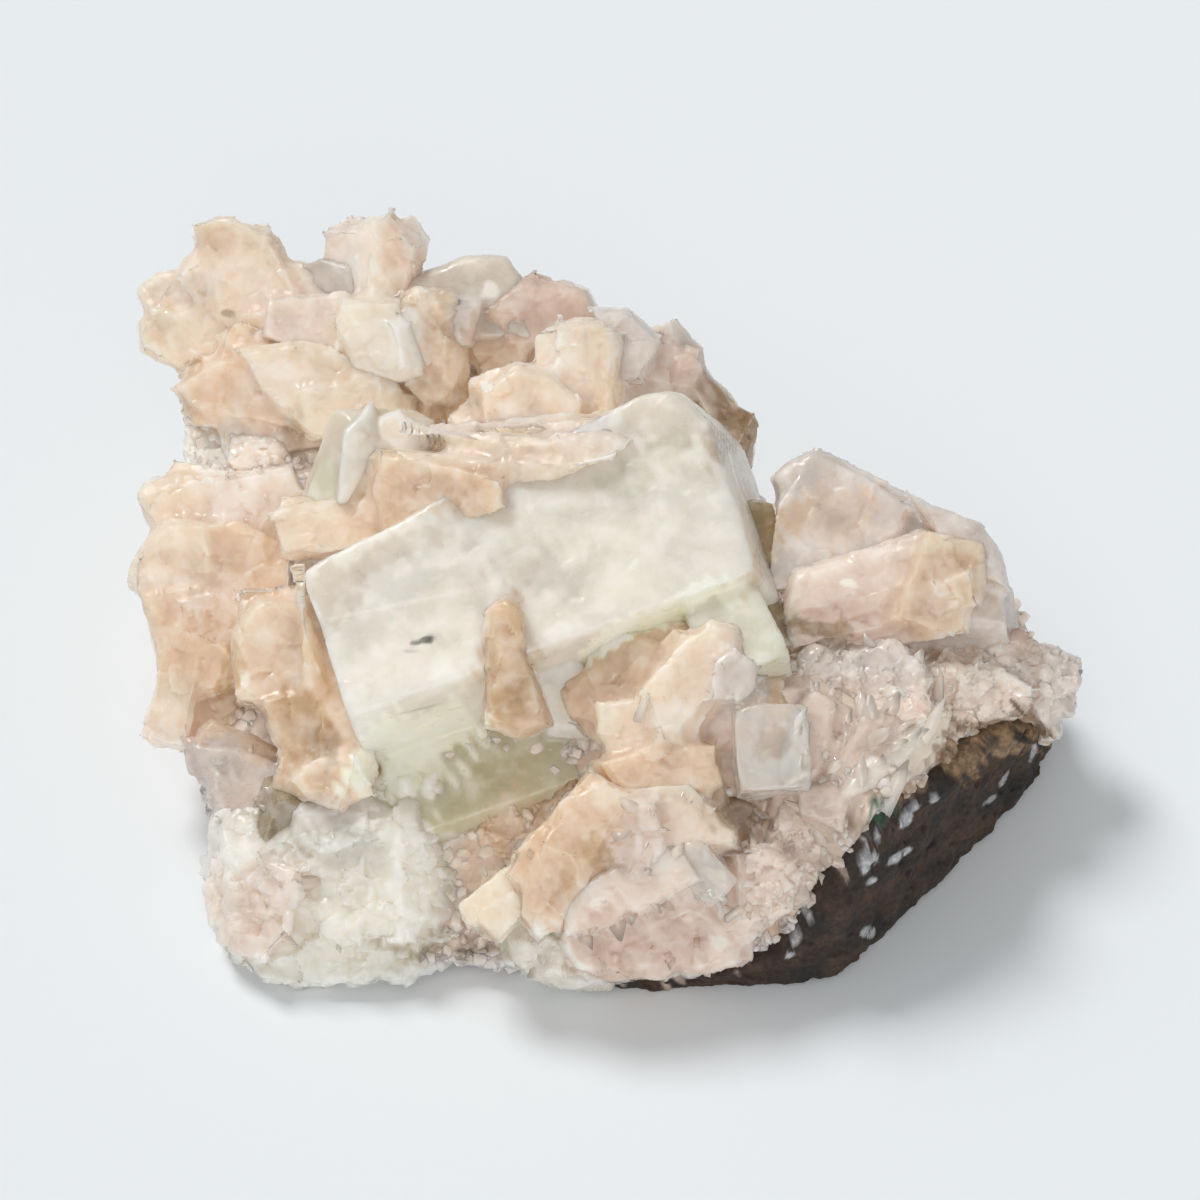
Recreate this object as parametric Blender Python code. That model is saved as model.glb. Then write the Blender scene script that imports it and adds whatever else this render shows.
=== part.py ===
"""Apophyllite and stilbite crystals on a piece of vesicular basalt, 105 mm wide.

The basalt is a low polar mesh with a flat underside, and a crust of small crystals caps it. The larger
crystals are polyhedra, each the space inside a set of planes, and those that grow through each other are
joined in one solid. Every solid stops GAP short of the one it grows on. Lengths are in millimetres here
and in metres in the meshes.
"""
import itertools
import math
import random

import bmesh
import bpy
import numpy as np
from mathutils import Vector

MM = 0.001
GAP = 0.3
SEED = 11
BASALT_SIDES = 36
CRUST_SIDES = 42

# The line of the basalt where it meets the table, anticlockwise from the right: x, y and the rim's height.
BASALT_LINE = [
    (50.5, -5, 8), (49, 3, 10), (42, 7, 14), (32, 8, 15), (23, 10, 15), (14, 15, 14), (8, 23, 15),
    (0, 28, 16), (-12, 30, 17), (-24, 31, 17), (-35, 30, 16), (-41, 24, 14), (-42, 14, 13),
    (-44, 5, 11), (-43, -6, 8), (-40, -16, 5), (-37, -25, 2.6), (-34, -32, 2), (-25, -34.5, 2),
    (-12, -34, 2), (-3, -36.5, 2.2), (6, -38.2, 2.6), (14, -37.6, 3.2), (20, -37.4, 5.6),
    (26.3, -36.6, 14), (31, -31, 20), (36, -25.4, 19.5), (42, -18, 18), (47, -11, 13.5),
]
BASALT_PLATEAU = 10

# The edge of the crust: x, y, its height there, and 1 where it also hangs over the basalt's side.
CRUST_EDGE = [
    (49.5, -3.5, 12, 1), (47, 1.5, 15, 1), (43, 6, 21, 1), (34, 9, 23, 1), (25, 12, 24, 1), (19, 13, 21, 1),
    (16.5, 17, 20, 1), (14, 23.5, 22, 1), (9, 28.5, 25, 1), (2, 32.5, 27, 1), (-6, 34.5, 28, 1),
    (-15, 35.5, 29, 1), (-25, 36.5, 29, 1), (-34, 37, 28, 1), (-43, 34, 25, 1), (-46, 28, 23, 1),
    (-45, 20, 23, 1), (-46, 12, 20, 1), (-47, 5, 17, 1), (-46, -4, 14, 1), (-44.5, -12, 9.5, 1),
    (-42, -20, 6, 1), (-39.5, -27, 3.6, 1), (-37, -32, 3, 1), (-32, -35, 3, 1), (-24, -35.8, 3, 1),
    (-14, -35.4, 3.2, 1), (-6, -37, 4, 1), (4, -38.4, 6, 1), (13, -37.5, 6.4, 1), (19.5, -35.3, 7, 0),
    (26, -32.6, 15.5, 0), (29.5, -29.6, 21.8, 0), (34, -25.2, 21.6, 0), (39, -17, 20, 0), (44.5, -9, 16, 0),
]
CRUST_CENTRE = 26
CRUST_SWELL = 1.35
CRUST_SKIRT = 1.0

CAMERA_SIDE = (0, -0.6, 0.8)
BLOCK_FACE = (-0.045, -0.32, 0.947)
BLOCK_FRONT = (0.347, -0.902, -0.259)
BLOCK_DEPTH = 23
CHAMFER = math.radians(35)

STONE = (0.035, 0.028, 0.024)
DRUSE = (0.78, 0.68, 0.64)
PALE_GREEN = (0.72, 0.76, 0.66)
DARK_GREEN = (0.33, 0.33, 0.22)
SMOKY = (0.55, 0.50, 0.46)
CLEAR = (0.85, 0.86, 0.84)
OLIVE = (0.52, 0.44, 0.25)
LILAC = (0.60, 0.54, 0.52)
PEACH = (0.84, 0.66, 0.49)
PINK = (0.85, 0.72, 0.66)
IVORY = (0.88, 0.79, 0.70)


def clear_scene():
    for obj in list(bpy.data.objects):
        bpy.data.objects.remove(obj, do_unlink=True)


def material(name, colour, roughness):
    made = bpy.data.materials.new(name)
    made.use_nodes = True
    shader = made.node_tree.nodes["Principled BSDF"]
    shader.inputs["Base Color"].default_value = (*colour, 1)
    shader.inputs["Roughness"].default_value = roughness
    shader.inputs["Metallic"].default_value = 0
    return made


def unit(vector):
    vector = np.array(vector, float)
    return vector / np.linalg.norm(vector)


def add_object(name, mesh, helper=False):
    obj = bpy.data.objects.new(name, mesh)
    bpy.context.scene.collection.objects.link(obj)
    if helper:
        obj.hide_render = True
        obj.display_type = "WIRE"
    return obj


# Crystals as the space inside planes

def corners_inside(planes):
    """The corners of the space where normal . point <= distance for every plane."""
    normals = np.array([normal for normal, _ in planes])
    distances = np.array([distance for _, distance in planes])
    trios = np.array(list(itertools.combinations(range(len(planes)), 3)))
    blocks = normals[trios]
    crossing = np.abs(np.linalg.det(blocks)) > 1e-4
    points = np.linalg.solve(blocks[crossing], distances[trios[crossing]][..., None])[..., 0]
    inside = (points @ normals.T <= distances + 1e-5).all(axis=1)
    return np.unique(np.round(points[inside], 4), axis=0)


def planes_through(pairs):
    """Planes from (normal, point on the plane) pairs."""
    return [(unit(normal), float(unit(normal) @ np.array(point, float))) for normal, point in pairs]


def grown(planes, by):
    return [(normal, distance + by) for normal, distance in planes]


def frame_of(along, facing):
    """Unit vectors along a crystal, across its width and out of its broad face."""
    along = unit(along)
    out = np.array(facing, float)
    out = unit(out - along * (out @ along))
    return along, np.cross(out, along), out


def blade(foot, tip, width, thick, facing=CAMERA_SIDE, point=40, chamfered=True):
    """A tabular crystal from foot to tip with a roof-shaped end, whose slope in degrees is point."""
    foot, tip = np.array(foot, float), np.array(tip, float)
    along, across, out = frame_of(tip - foot, facing)
    middle = (foot + tip) / 2
    slope = math.radians(point)
    planes = [(-along, float(-along @ foot)), (out, float(out @ middle) + thick / 2)]
    planes.append((-out, float(-out @ middle) + thick / 2))
    if chamfered:
        chamfer = along * math.cos(CHAMFER) + out * math.sin(CHAMFER)
        planes.append((chamfer, float(chamfer @ tip) + 0.1 * thick))
    for side in (1, -1):
        wall = side * across
        planes.append((wall, float(wall @ middle) + width / 2))
        roof = along * math.cos(slope) + side * across * math.sin(slope)
        planes.append((roof, float(roof @ tip)))
    return planes


def bundle(foot, tip, width, thick, facing=CAMERA_SIDE, count=3, fan=6, point=40):
    """A sheaf: blades side by side across the width, fanned by an angle each and stepped at their tips."""
    foot, tip = np.array(foot, float), np.array(tip, float)
    along, across, out = frame_of(tip - foot, facing)
    length = np.linalg.norm(tip - foot)
    chance = random.Random(f"{SEED} {foot} {tip}")
    share = width / count
    made = []
    for i in range(count):
        place = i - (count - 1) / 2
        angle = math.radians(fan * place)
        turned = along * math.cos(angle) + across * math.sin(angle)
        start = foot + across * share * place * 0.7 + out * chance.uniform(-0.12, 0.12) * thick
        reach = length * (1 - 0.07 * place * place - chance.uniform(0, 0.06)) if count > 1 else length
        body = thick * (1 - 0.1 * abs(place) - chance.uniform(0, 0.08))
        made.append(blade(start, start + turned * reach, share * 1.45, body, out, point))
    return made


def block(centre, along, facing, size, corner=0.0, sides=0.0):
    """A tetragonal prism of size (length, width, height) with its corners cut by corner times its half
    diagonal, and its long edges by sides in the same way."""
    centre, size = np.array(centre, float), np.array(size, float)
    axes = np.array(frame_of(along, facing))
    half = size / 2
    planes = []
    for axis, reach in zip(axes, half):
        planes += [(axis, float(axis @ centre) + reach), (-axis, float(-axis @ centre) + reach)]
    if corner:
        for signs in itertools.product((1, -1), repeat=3):
            normal = unit(np.array(signs) / half @ axes)
            reach = float(normal @ (np.array(signs) * half @ axes)) * (1 - corner)
            planes.append((normal, float(normal @ centre) + reach))
    if sides:
        for signs in itertools.product((1, -1), repeat=2):
            normal = unit(signs[0] * axes[1] + signs[1] * axes[2])
            reach = float(normal @ (signs[0] * half[1] * axes[1] + signs[1] * half[2] * axes[2]))
            planes.append((normal, float(normal @ centre) + reach * (1 - sides)))
    return planes


def polyhedron(name, planes):
    """The closed mesh of the space inside the planes, as a helper object."""
    cell = bmesh.new()
    for point in corners_inside(planes):
        cell.verts.new(Vector(point) * MM)
    made = bmesh.ops.convex_hull(cell, input=cell.verts[:])
    loose = {v for v in made["geom_interior"] if isinstance(v, bmesh.types.BMVert)}
    bmesh.ops.delete(cell, geom=list(loose), context="VERTS")
    bmesh.ops.recalc_face_normals(cell, faces=cell.faces[:])
    mesh = bpy.data.meshes.new(name)
    cell.to_mesh(mesh)
    cell.free()
    return add_object(name, mesh, helper=True)


# Joining and cutting

def combine(obj, others, operation):
    """Applies one exact Boolean of obj with all the other objects."""
    group = bpy.data.collections.new("operands")
    bpy.context.scene.collection.children.link(group)
    for other in others:
        group.objects.link(other)
    boolean = obj.modifiers.new(operation, "BOOLEAN")
    boolean.operation = operation
    boolean.solver = "EXACT"
    boolean.operand_type = "COLLECTION"
    boolean.collection = group
    bpy.context.view_layer.update()
    graph = bpy.context.evaluated_depsgraph_get()
    mesh = bpy.data.meshes.new_from_object(obj.evaluated_get(graph))
    obj.modifiers.clear()
    old = obj.data
    obj.data = mesh
    bpy.data.meshes.remove(old)
    bpy.data.collections.remove(group)


def volume_of(faces):
    total = 0.0
    for face in faces:
        corners = [loop.vert.co for loop in face.loops]
        for a, b in zip(corners[1:], corners[2:]):
            total += corners[0].dot(a.cross(b))
    return total


def keep_largest_body(obj):
    """Drops the crumbs that a cut leaves."""
    shape = bmesh.new()
    shape.from_mesh(obj.data)
    left = set(shape.faces)
    bodies = []
    while left:
        body, reached = set(), [left.pop()]
        while reached:
            face = reached.pop()
            body.add(face)
            for edge in face.edges:
                for other in edge.link_faces:
                    if other in left:
                        left.remove(other)
                        reached.append(other)
        bodies.append(body)
    bodies.sort(key=volume_of)
    for crumb in bodies[:-1]:
        bmesh.ops.delete(shape, geom=list(crumb), context="FACES")
    alone = [vertex for vertex in shape.verts if not vertex.link_faces]
    bmesh.ops.delete(shape, geom=alone, context="VERTS")
    shape.to_mesh(obj.data)
    shape.free()


def remove(objects):
    for obj in objects:
        bpy.data.objects.remove(obj, do_unlink=True)


def box_of(obj):
    points = np.array([vertex.co for vertex in obj.data.vertices])
    return points.min(axis=0), points.max(axis=0)


def near(obj, others):
    """Those of the others whose boxes meet the object's."""
    low, high = box_of(obj)
    found = []
    for other in others:
        other_low, other_high = box_of(other)
        if (other_low < high).all() and (low < other_high).all():
            found.append(other)
    return found


def joined(name, crystals):
    """One object: the union of the crystals."""
    cells = [polyhedron(f"{name} cell", planes) for planes in crystals]
    if len(cells) > 1:
        combine(cells[0], cells[1:], "UNION")
        remove(cells[1:])
    cells[0].name = name
    return cells[0]


# The basalt and the crust as polar meshes

def along_line(line, share):
    """The point at a share of the turn round a closed line, by its angle about the origin."""
    line = np.array(line, float)
    angles = np.unwrap(np.arctan2(line[:, 1], line[:, 0]))
    angles = np.append(angles, angles[0] + 2 * math.pi)
    rows = np.vstack([line, line[:1]])
    target = angles[0] + (share % 1.0) * 2 * math.pi
    return np.array([np.interp(target, angles, rows[:, i]) for i in range(rows.shape[1])])


def polar_mesh(name, rings, top):
    """A closed mesh from rings of points, lowest first, with a flat floor and a point at the top."""
    shape = bmesh.new()
    rows = [[shape.verts.new(Vector(point) * MM) for point in ring] for ring in rings]
    count = len(rows[0])
    for low, high in zip(rows, rows[1:]):
        for i in range(count):
            j = (i + 1) % count
            shape.faces.new((low[i], low[j], high[j]))
            shape.faces.new((low[i], high[j], high[i]))
    shape.faces.new(rows[0][::-1])
    peak = shape.verts.new(Vector(top) * MM)
    for i in range(count):
        shape.faces.new((rows[-1][i], rows[-1][(i + 1) % count], peak))
    bmesh.ops.recalc_face_normals(shape, faces=shape.faces[:])
    mesh = bpy.data.meshes.new(name)
    shape.to_mesh(mesh)
    shape.free()
    return mesh


def bump(x, y, size, phase):
    """Smooth unevenness between -1 and 1 with lumps of about the given size."""
    k = 2 * math.pi / size
    first = math.sin(k * x + 1.7 * math.sin(k * 0.6 * y + phase))
    second = math.sin(k * 0.9 * y + 1.3 * math.sin(k * 0.7 * x - phase))
    return 0.6 * first + 0.4 * second


def basalt_rings(grow):
    count = BASALT_SIDES
    chance = random.Random(SEED)
    rings = [[], [], [], [], [], [], []]
    for i in range(count):
        x, y, rim = along_line(BASALT_LINE, i / count)
        wobble = [chance.uniform(-0.35, 0.35) for _ in range(8)]
        away = unit((x, y))
        for ring, (share, height) in enumerate(((0.985, 0), (1.0, 0.14), (1.0, 0.5), (0.985, 0.86), (0.955, 1))):
            reach = np.hypot(x, y) * share + (grow if grow else 0) + (wobble[ring] if ring else 0)
            z = rim * height + (grow if ring else -grow)
            rings[ring].append((*(away * reach), z))
        for ring, share in ((5, 0.72), (6, 0.4)):
            inner = np.array((x, y)) * share
            z = rim + (BASALT_PLATEAU - rim) * (1 - share) + wobble[ring] * 2 + grow
            rings[ring].append((*inner, z))
    return rings


def basalt_matrix(grow=0.0, helper=False):
    mesh = polar_mesh("basalt_matrix", basalt_rings(grow), (0, 0, BASALT_PLATEAU + grow))
    return add_object("basalt_matrix", mesh, helper)


def crust_height(x, y, edge, share):
    """The crust's upper side: from its edge it rises to the centre's level, with soft lumps."""
    rise = 1 - share ** CRUST_SWELL
    return edge + (CRUST_CENTRE - edge) * rise + 1.1 * bump(x, y, 13, 0.4) * min(1, 3 * (1 - share))


def crust_rings(grow):
    count = CRUST_SIDES
    chance = random.Random(SEED + 1)
    rings = [[] for _ in range(8)]
    for i in range(count):
        x, y, edge, hangs = along_line(CRUST_EDGE, i / count)
        hangs = hangs > 0.5
        away = unit((x, y))
        reach = np.hypot(x, y)
        wobble = [chance.uniform(-0.5, 0.5) for _ in range(8)]
        low = CRUST_SKIRT if hangs else CRUST_SKIRT + 2
        foot = 0.965 if hangs else 0.80
        for ring, (share, height) in enumerate(((foot, 0), ((1 + foot) / 2 + 0.01, 0.35), (1.0, 0.72))):
            z = low + (edge - low) * height + (0 if ring else -grow)
            rings[ring].append((*(away * (reach * share + grow + wobble[ring])), z))
        for ring, share in ((3, 0.975), (4, 0.86), (5, 0.68), (6, 0.46), (7, 0.22)):
            inner = away * (reach * share + (grow if ring == 3 else 0))
            z = crust_height(*inner, edge, share) + wobble[ring] * (0.8 if ring > 3 else 0.4) + grow
            rings[ring].append((*inner, z))
    return rings


def crust_body(grow=0.0, helper=False):
    mesh = polar_mesh("druse_crust", crust_rings(grow), (0, 0, CRUST_CENTRE + 0.4 + grow))
    return add_object("druse_crust", mesh, helper)


def druse_cells():
    """Small pointed crystals that stand on the crust, thicker set where no large crystal hides it."""
    rings = crust_rings(0)
    chance = random.Random(SEED + 2)
    cells = []
    for ring, every in ((1, 4), (2, 3), (3, 2), (4, 3), (5, 5)):
        for i in range(chance.randrange(every), len(rings[ring]), every):
            x, y, z = rings[ring][i]
            lean = 1.0 if ring < 3 else 0.75 if ring == 3 else 0.35
            away = unit((x, y)) * lean
            up = 0.25 if ring < 3 else 0.9
            aim = unit((away[0] + chance.uniform(-0.4, 0.4), away[1] + chance.uniform(-0.4, 0.4), up))
            size = chance.uniform(2.2, 3.8)
            reach = size * chance.uniform(0.35, 0.6)
            foot = np.array((x, y, z)) - aim * size
            if min(z + aim[2] * reach, foot[2]) < CRUST_SKIRT + size / 2:
                continue
            facing = (chance.uniform(-1, 1), chance.uniform(-1, 1), chance.uniform(-1, 1))
            tip = np.array((x, y, z)) + aim * reach
            cells.append(blade(foot, tip, size, size * 0.7, facing, 45, chamfered=False))
    return cells


# The large crystals, one list of polyhedra for each solid

def apophyllite_block():
    main = planes_through([
        (BLOCK_FACE, (-27.2, -24.2, 30)),
        (BLOCK_FRONT, (-27.2, -24.2, 30)),
        ((-0.477, 0.84, 0.26), (9.8, 11.9, 43.5)),
        ((-0.95, -0.24, -0.20), (-29, -17, 31)),
        ((0.93, 0.18, 0.33), (15.5, -4, 38)),
        ((0.7, 0.5, 0.5), (11.6, 8, 42)),
        (-np.array(BLOCK_FACE), np.array((-27.2, -24.2, 30)) - BLOCK_DEPTH * np.array(BLOCK_FACE)),
    ])
    step = block((15.2, -11.8, 26), (0.9, 0.36, 0.2), BLOCK_FACE, (8.5, 9.5, 15), corner=0.1)
    grown_in = planes_through([
        ((0.02, -0.42, 0.91), (-12, -22.5, 16.4)),
        ((0.30, -0.94, 0.10), (-15.5, -25.8, 13)),
        ((0.25, -0.70, -0.66), (-15, -24.7, 9.5)),
        ((-0.93, -0.30, 0.1), (-22.5, -25, 14)),
        ((0.93, 0.30, 0.1), (-2.5, -20, 17)),
        ((0, 0.9, 0.3), (-12, -12, 16)),
        ((0, 0, -1), (-12, -20, 8)),
    ])
    return [main, step, grown_in]


def apophyllite_corner():
    return [planes_through([
        ((-0.05, -0.74, 0.67), (-30, -32, 9.2)),
        ((0.62, -0.62, 0.48), (-19.7, -31.6, 11)),
        ((-0.96, -0.22, 0.18), (-41.2, -30, 6)),
        ((-0.6, -0.75, 0.3), (-38.5, -35.2, 4)),
        ((0, -0.96, -0.28), (-30, -38.6, 2.5)),
        ((0.5, -0.86, -0.1), (-19, -37.3, 3)),
        ((0.94, 0.1, 0.32), (-16.3, -31, 7)),
        ((-0.2, 0.15, 1), (-27, -27, 14.8)),
        ((0, 1, 0), (-30, -22, 10)),
        ((0, 0, -1), (-30, -30, 1.2)),
    ]), block((-37.6, -28.5, 6.5), (0.3, 0.4, 0.8), (-0.7, -0.7, 0.2), (10, 8, 7), corner=0.2)]


def apophyllite_wedge():
    return [blade((-37.2, -27.2, 6), (-32.8, -20.8, 15), 5.6, 6.5, (0.35, -0.7, 0.62), 30)]


def apophyllite_spike():
    return [
        blade((-30.5, 6.5, 23), (-25.2, 13.8, 37), 6, 5.5, (-0.75, -0.55, 0.35), 30),
        blade((-25, 6, 24), (-24, 12.5, 35.5), 5, 5, (0.3, -0.85, 0.4), 30),
        blade((-27, 12.5, 28), (-18.8, 14.2, 34.3), 5, 5, (0, -0.6, 0.8), 35),
    ]


def apophyllite_back():
    return [planes_through([
        ((0, -0.45, 0.89), (-14, 33, 35.3)),
        ((-0.35, 0.62, 0.7), (-18, 36.5, 35)),
        ((0.1, 0.8, 0.6), (-13, 37.8, 34)),
        ((0.85, 0.15, 0.45), (-9.3, 36, 33.5)),
        ((-0.9, 0.1, 0.3), (-22.8, 34, 32)),
        ((0, -1, -0.1), (-15, 28.5, 30)),
        ((0, 0, -1), (-15, 33, 24)),
        ((0, 1, -0.1), (-15, 38.3, 30)),
    ])]


def smoky_crystal():
    return [block((-31.5, 36.2, 30), (0.85, -0.1, 0.45), (0, -0.5, 0.85), (13, 7, 9), corner=0.18)]


def apophyllite_cube():
    return [block((18.3, -24.2, 24.3), (0.99, 0.1, 0), (0.05, -0.52, 0.85), (7.8, 9.2, 9), corner=0.12)]


def apophyllite_foot():
    return [planes_through([
        ((-0.1, -0.70, 0.70), (-6, -36, 7.5)),
        ((-0.75, -0.5, 0.4), (-11, -36, 5)),
        ((-0.55, -0.6, -0.58), (-10, -36.5, 3.5)),
        ((0.1, -0.97, 0.2), (-3, -38.7, 2.5)),
        ((0.85, -0.4, 0.3), (1.5, -37, 3)),
        ((0, 1, 0), (-5, -30, 5)),
        ((0, 0.2, 1), (-5, -33, 10)),
        ((0, 0, -1), (-5, -35, 0.8)),
        ((-1, 0, 0), (-12.4, -35, 5)),
    ])]


def clear_crystal():
    return [block((11.2, -34, 16.2), (0.6, -0.5, -0.4), (-0.1, -0.7, 0.7), (7, 4.4, 5), corner=0.2)]


def grey_crystal():
    return [planes_through([
        ((0.15, -0.38, 0.91), (24.7, 11, 33)),
        ((0.36, 0.93, -0.05), (33.4, 7.7, 30)),
        ((-0.72, 0.25, 0.64), (21.2, 9, 31.4)),
        ((-0.98, 0.1, 0.1), (19.2, 6, 27)),
        ((0.96, -0.05, 0.27), (44.3, 0, 23.5)),
        ((0.8, 0.15, 0.58), (43, 3.6, 27)),
        ((0, -0.93, 0.36), (30, -3.6, 27)),
        ((0, -1, -0.2), (32, -5.5, 22)),
        ((0, 0, -1), (31, 2, 13)),
    ])]


def olive_crystal():
    return [blade((19.6, -9.5, 22), (16, 8.3, 27.5), 3.4, 7, (0.4, -0.5, 0.75), 30)]


def stilbite_crown():
    return (
        bundle((-34.5, 30, 24), (-43.2, 40.3, 38.4), 8.5, 5, (-0.2, -0.6, 0.77), 3, 5, 22)
        + bundle((-36, 31, 24.5), (-51.6, 37, 29.8), 8, 5.5, (0, -0.5, 0.85), 2, 7, 30)
        + bundle((-36, 29.5, 23.5), (-47.6, 34.2, 26), 5, 5.5, (0, -0.5, 0.85), 1, 7, 30)
        + bundle((-26.5, 30, 25.5), (-24, 39.9, 40.1), 7.5, 5.5, (-0.3, -0.7, 0.6), 2, 6, 35)
        + bundle((-25.2, 23.5, 25.5), (-24, 29, 37.6), 8, 6, (0, -0.8, 0.6), 2, 4, 25)
        + bundle((-34.5, 26, 24), (-35.5, 33.5, 34.5), 10, 6.5, (-0.1, -0.7, 0.7), 2, 8)
        + bundle((-30, 26, 25), (-29, 33.2, 35), 8, 6, (0.1, -0.7, 0.7), 2, 6)
    )


def stilbite_column():
    return bundle((-16.8, 20.5, 24.5), (-20, 30.4, 38.2), 5.6, 5.2, (0.3, -0.75, 0.6), 2, 5, 25)


def stilbite_fan():
    return (
        bundle((-25, 23.5, 27), (-47.2, 25.6, 26.8), 10.5, 7.5, (0, -0.62, 0.78), 4, 7, 40)
        + bundle((-33, 22.5, 28), (-21.8, 22, 29.5), 7.5, 7.5, (0, -0.62, 0.78), 2, 8, 35)
    )


def stilbite_shelf():
    return (
        bundle((-33, 9, 23), (-51.2, 13.6, 21.8), 7.5, 5.5, (0, -0.45, 0.89), 3, 5, 30)
        + bundle((-34, 2.2, 21), (-52.4, 3.4, 19.8), 10, 6, (-0.1, -0.5, 0.85), 3, 6, 38)
        + bundle((-36.5, -4.5, 18), (-49, -2.6, 15.5), 8.5, 6, (-0.2, -0.6, 0.77), 3, 6, 30)
        + bundle((-45.3, -4.5, 17.5), (-47.8, -12.8, 10), 4.4, 3.6, (-0.4, -0.6, 0.7), 2, 5, 25)
    )


def stilbite_pillar():
    return (
        bundle((-36, -2.8, 25), (-35, -14.8, 18.6), 7.8, 6, (0, -0.45, 0.9), 3, 3, 20)
        + bundle((-32.5, -1, 23), (-30.5, -19.5, 14.5), 6.5, 6, (0.2, -0.45, 0.87), 2, 3, 20)
        + bundle((-30.4, -4, 25.5), (-26.8, -22, 16), 4, 6, (0, -0.45, 0.9), 1, 0, 25)
        + bundle((-34, -19, 15.5), (-24.8, -23.4, 17.2), 5.4, 5, (0, -0.7, 0.7), 2, 5, 30)
    )


def stilbite_ridge():
    return (
        bundle((-22.5, 12.2, 31.5), (3.4, 7.2, 38.2), 3.8, 5, (0, -0.8, 0.6), 1, 0, 20)
        + bundle((-22.5, 9, 30), (-1, 6.6, 35.4), 5, 5.5, (0, -0.75, 0.66), 2, 4, 30)
        + bundle((-24, 5.5, 27), (-11.5, 5.6, 33.4), 8, 7, (-0.1, -0.6, 0.8), 3, 6, 30)
        + bundle((-23.5, 3.2, 29.5), (-36, 5.6, 26.4), 5.4, 6, (0, -0.6, 0.8), 2, 4, 30)
    )


def stilbite_tablet():
    return (
        bundle((-1.8, 14, 31), (-1.8, 25.6, 39), 7.8, 5.6, (-0.35, -0.75, 0.56), 2, 3, 20)
        + bundle((-7.5, 8.6, 32), (-10.8, 21.5, 35), 12, 7, (0, -0.6, 0.8), 4, 8, 35)
    )


def stilbite_rear():
    return (
        bundle((-14, 28, 27), (-1.6, 35.2, 31.2), 9, 7, (0, -0.6, 0.8), 3, 7, 35)
        + bundle((-3, 28, 25), (11.8, 28.2, 27.4), 8, 7.5, (0, -0.55, 0.83), 3, 7, 35)
        + bundle((8, 26, 23), (16.8, 21.6, 20), 6.5, 8, (0.2, -0.5, 0.84), 2, 8, 35)
    )


def stilbite_bowtie():
    return (
        bundle((-10.4, -19.2, 32), (-9.8, -12.4, 35.8), 5, 4.6, (0, -0.55, 0.83), 2, 12, 30)
        + bundle((-10.2, -17.4, 33), (-9, -23, 24), 8, 6, (0.1, -0.85, 0.5), 3, 10, 25)
    )


def stilbite_front():
    return (
        bundle((1, -20, 20.5), (8.5, -12.4, 29.6), 12, 7, (-0.2, -0.65, 0.75), 3, 11, 35)
        + bundle((5.8, -21.6, 21.5), (13.6, -13.6, 32), 7.4, 6.5, (-0.3, -0.6, 0.72), 2, 5, 30)
        + bundle((13.4, -21, 22), (14.8, -17, 30), 5, 5, (0.2, -0.7, 0.7), 1, 0, 30)
        + bundle((16.5, -20, 20), (18.2, -15.8, 25.6), 5, 5, (0.2, -0.7, 0.7), 1, 0, 30)
        + bundle((-1, -26, 19.5), (13, -25.4, 22.5), 5, 6, (0, -0.7, 0.7), 2, 3, 30)
    )


def stilbite_sheaf():
    return (
        bundle((2.5, -27.5, 21.5), (-7, -38.6, 11), 9.5, 7, (-0.1, -0.72, 0.68), 3, 6, 25)
        + bundle((4.5, -29, 20.5), (3, -35.5, 15.2), 6, 6, (0, -0.75, 0.66), 2, 8, 25)
        + bundle((8.5, -25.5, 20), (9.5, -33.5, 16), 10, 6, (0.1, -0.75, 0.66), 3, 8, 30)
    )


def stilbite_pointer():
    return bundle((-6.8, -33.5, 15.5), (-14.2, -37.8, 10.2), 4.2, 4, (-0.3, -0.7, 0.65), 2, 6, 35)


def stilbite_foot():
    return (
        bundle((9, -30, 14.5), (0, -38.8, 3.6), 9.5, 7, (-0.1, -0.85, 0.5), 3, 6, 35)
        + bundle((14, -31, 12.5), (10.5, -38.4, 4), 8.5, 6.5, (0.15, -0.85, 0.5), 3, 7, 35)
        + bundle((17, -30, 15), (18.5, -35.6, 8.5), 7, 6, (0.3, -0.85, 0.45), 2, 8, 35)
    )


def stilbite_right():
    return bundle((20.6, -6.2, 23.5), (42.8, -2.6, 27.6), 8.5, 8, (0, -0.75, 0.66), 3, 3, 28)


def heulandite_plates():
    return (
        bundle((20.6, -27, 15.5), (26.3, -16.8, 25.4), 6.5, 3.6, (0.45, -0.7, 0.55), 2, 4, 25)
        + bundle((24, -29.6, 17), (33.6, -19.8, 24.8), 6.5, 3.6, (0.35, -0.75, 0.55), 2, 4, 25)
        + bundle((28.5, -27.5, 19), (35, -15.8, 24.8), 5.5, 3.4, (0.4, -0.7, 0.6), 2, 4, 25)
        + bundle((21.5, -20, 19), (21.6, -14.8, 26), 5, 4, (0.1, -0.7, 0.7), 1, 0, 30)
    )


def clear_plates():
    return (
        bundle((-36, -15.5, 10), (-45.4, -13.8, 13.2), 5.5, 3, (-0.1, -0.7, 0.7), 2, 6, 30)
        + bundle((-35, -17.5, 9.5), (-43.2, -20.4, 9.6), 6.5, 3.2, (-0.2, -0.7, 0.7), 2, 6, 30)
        + bundle((-33, -17, 9), (-38.6, -24.4, 7.6), 5.5, 3, (-0.3, -0.75, 0.55), 2, 6, 30)
    )


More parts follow.
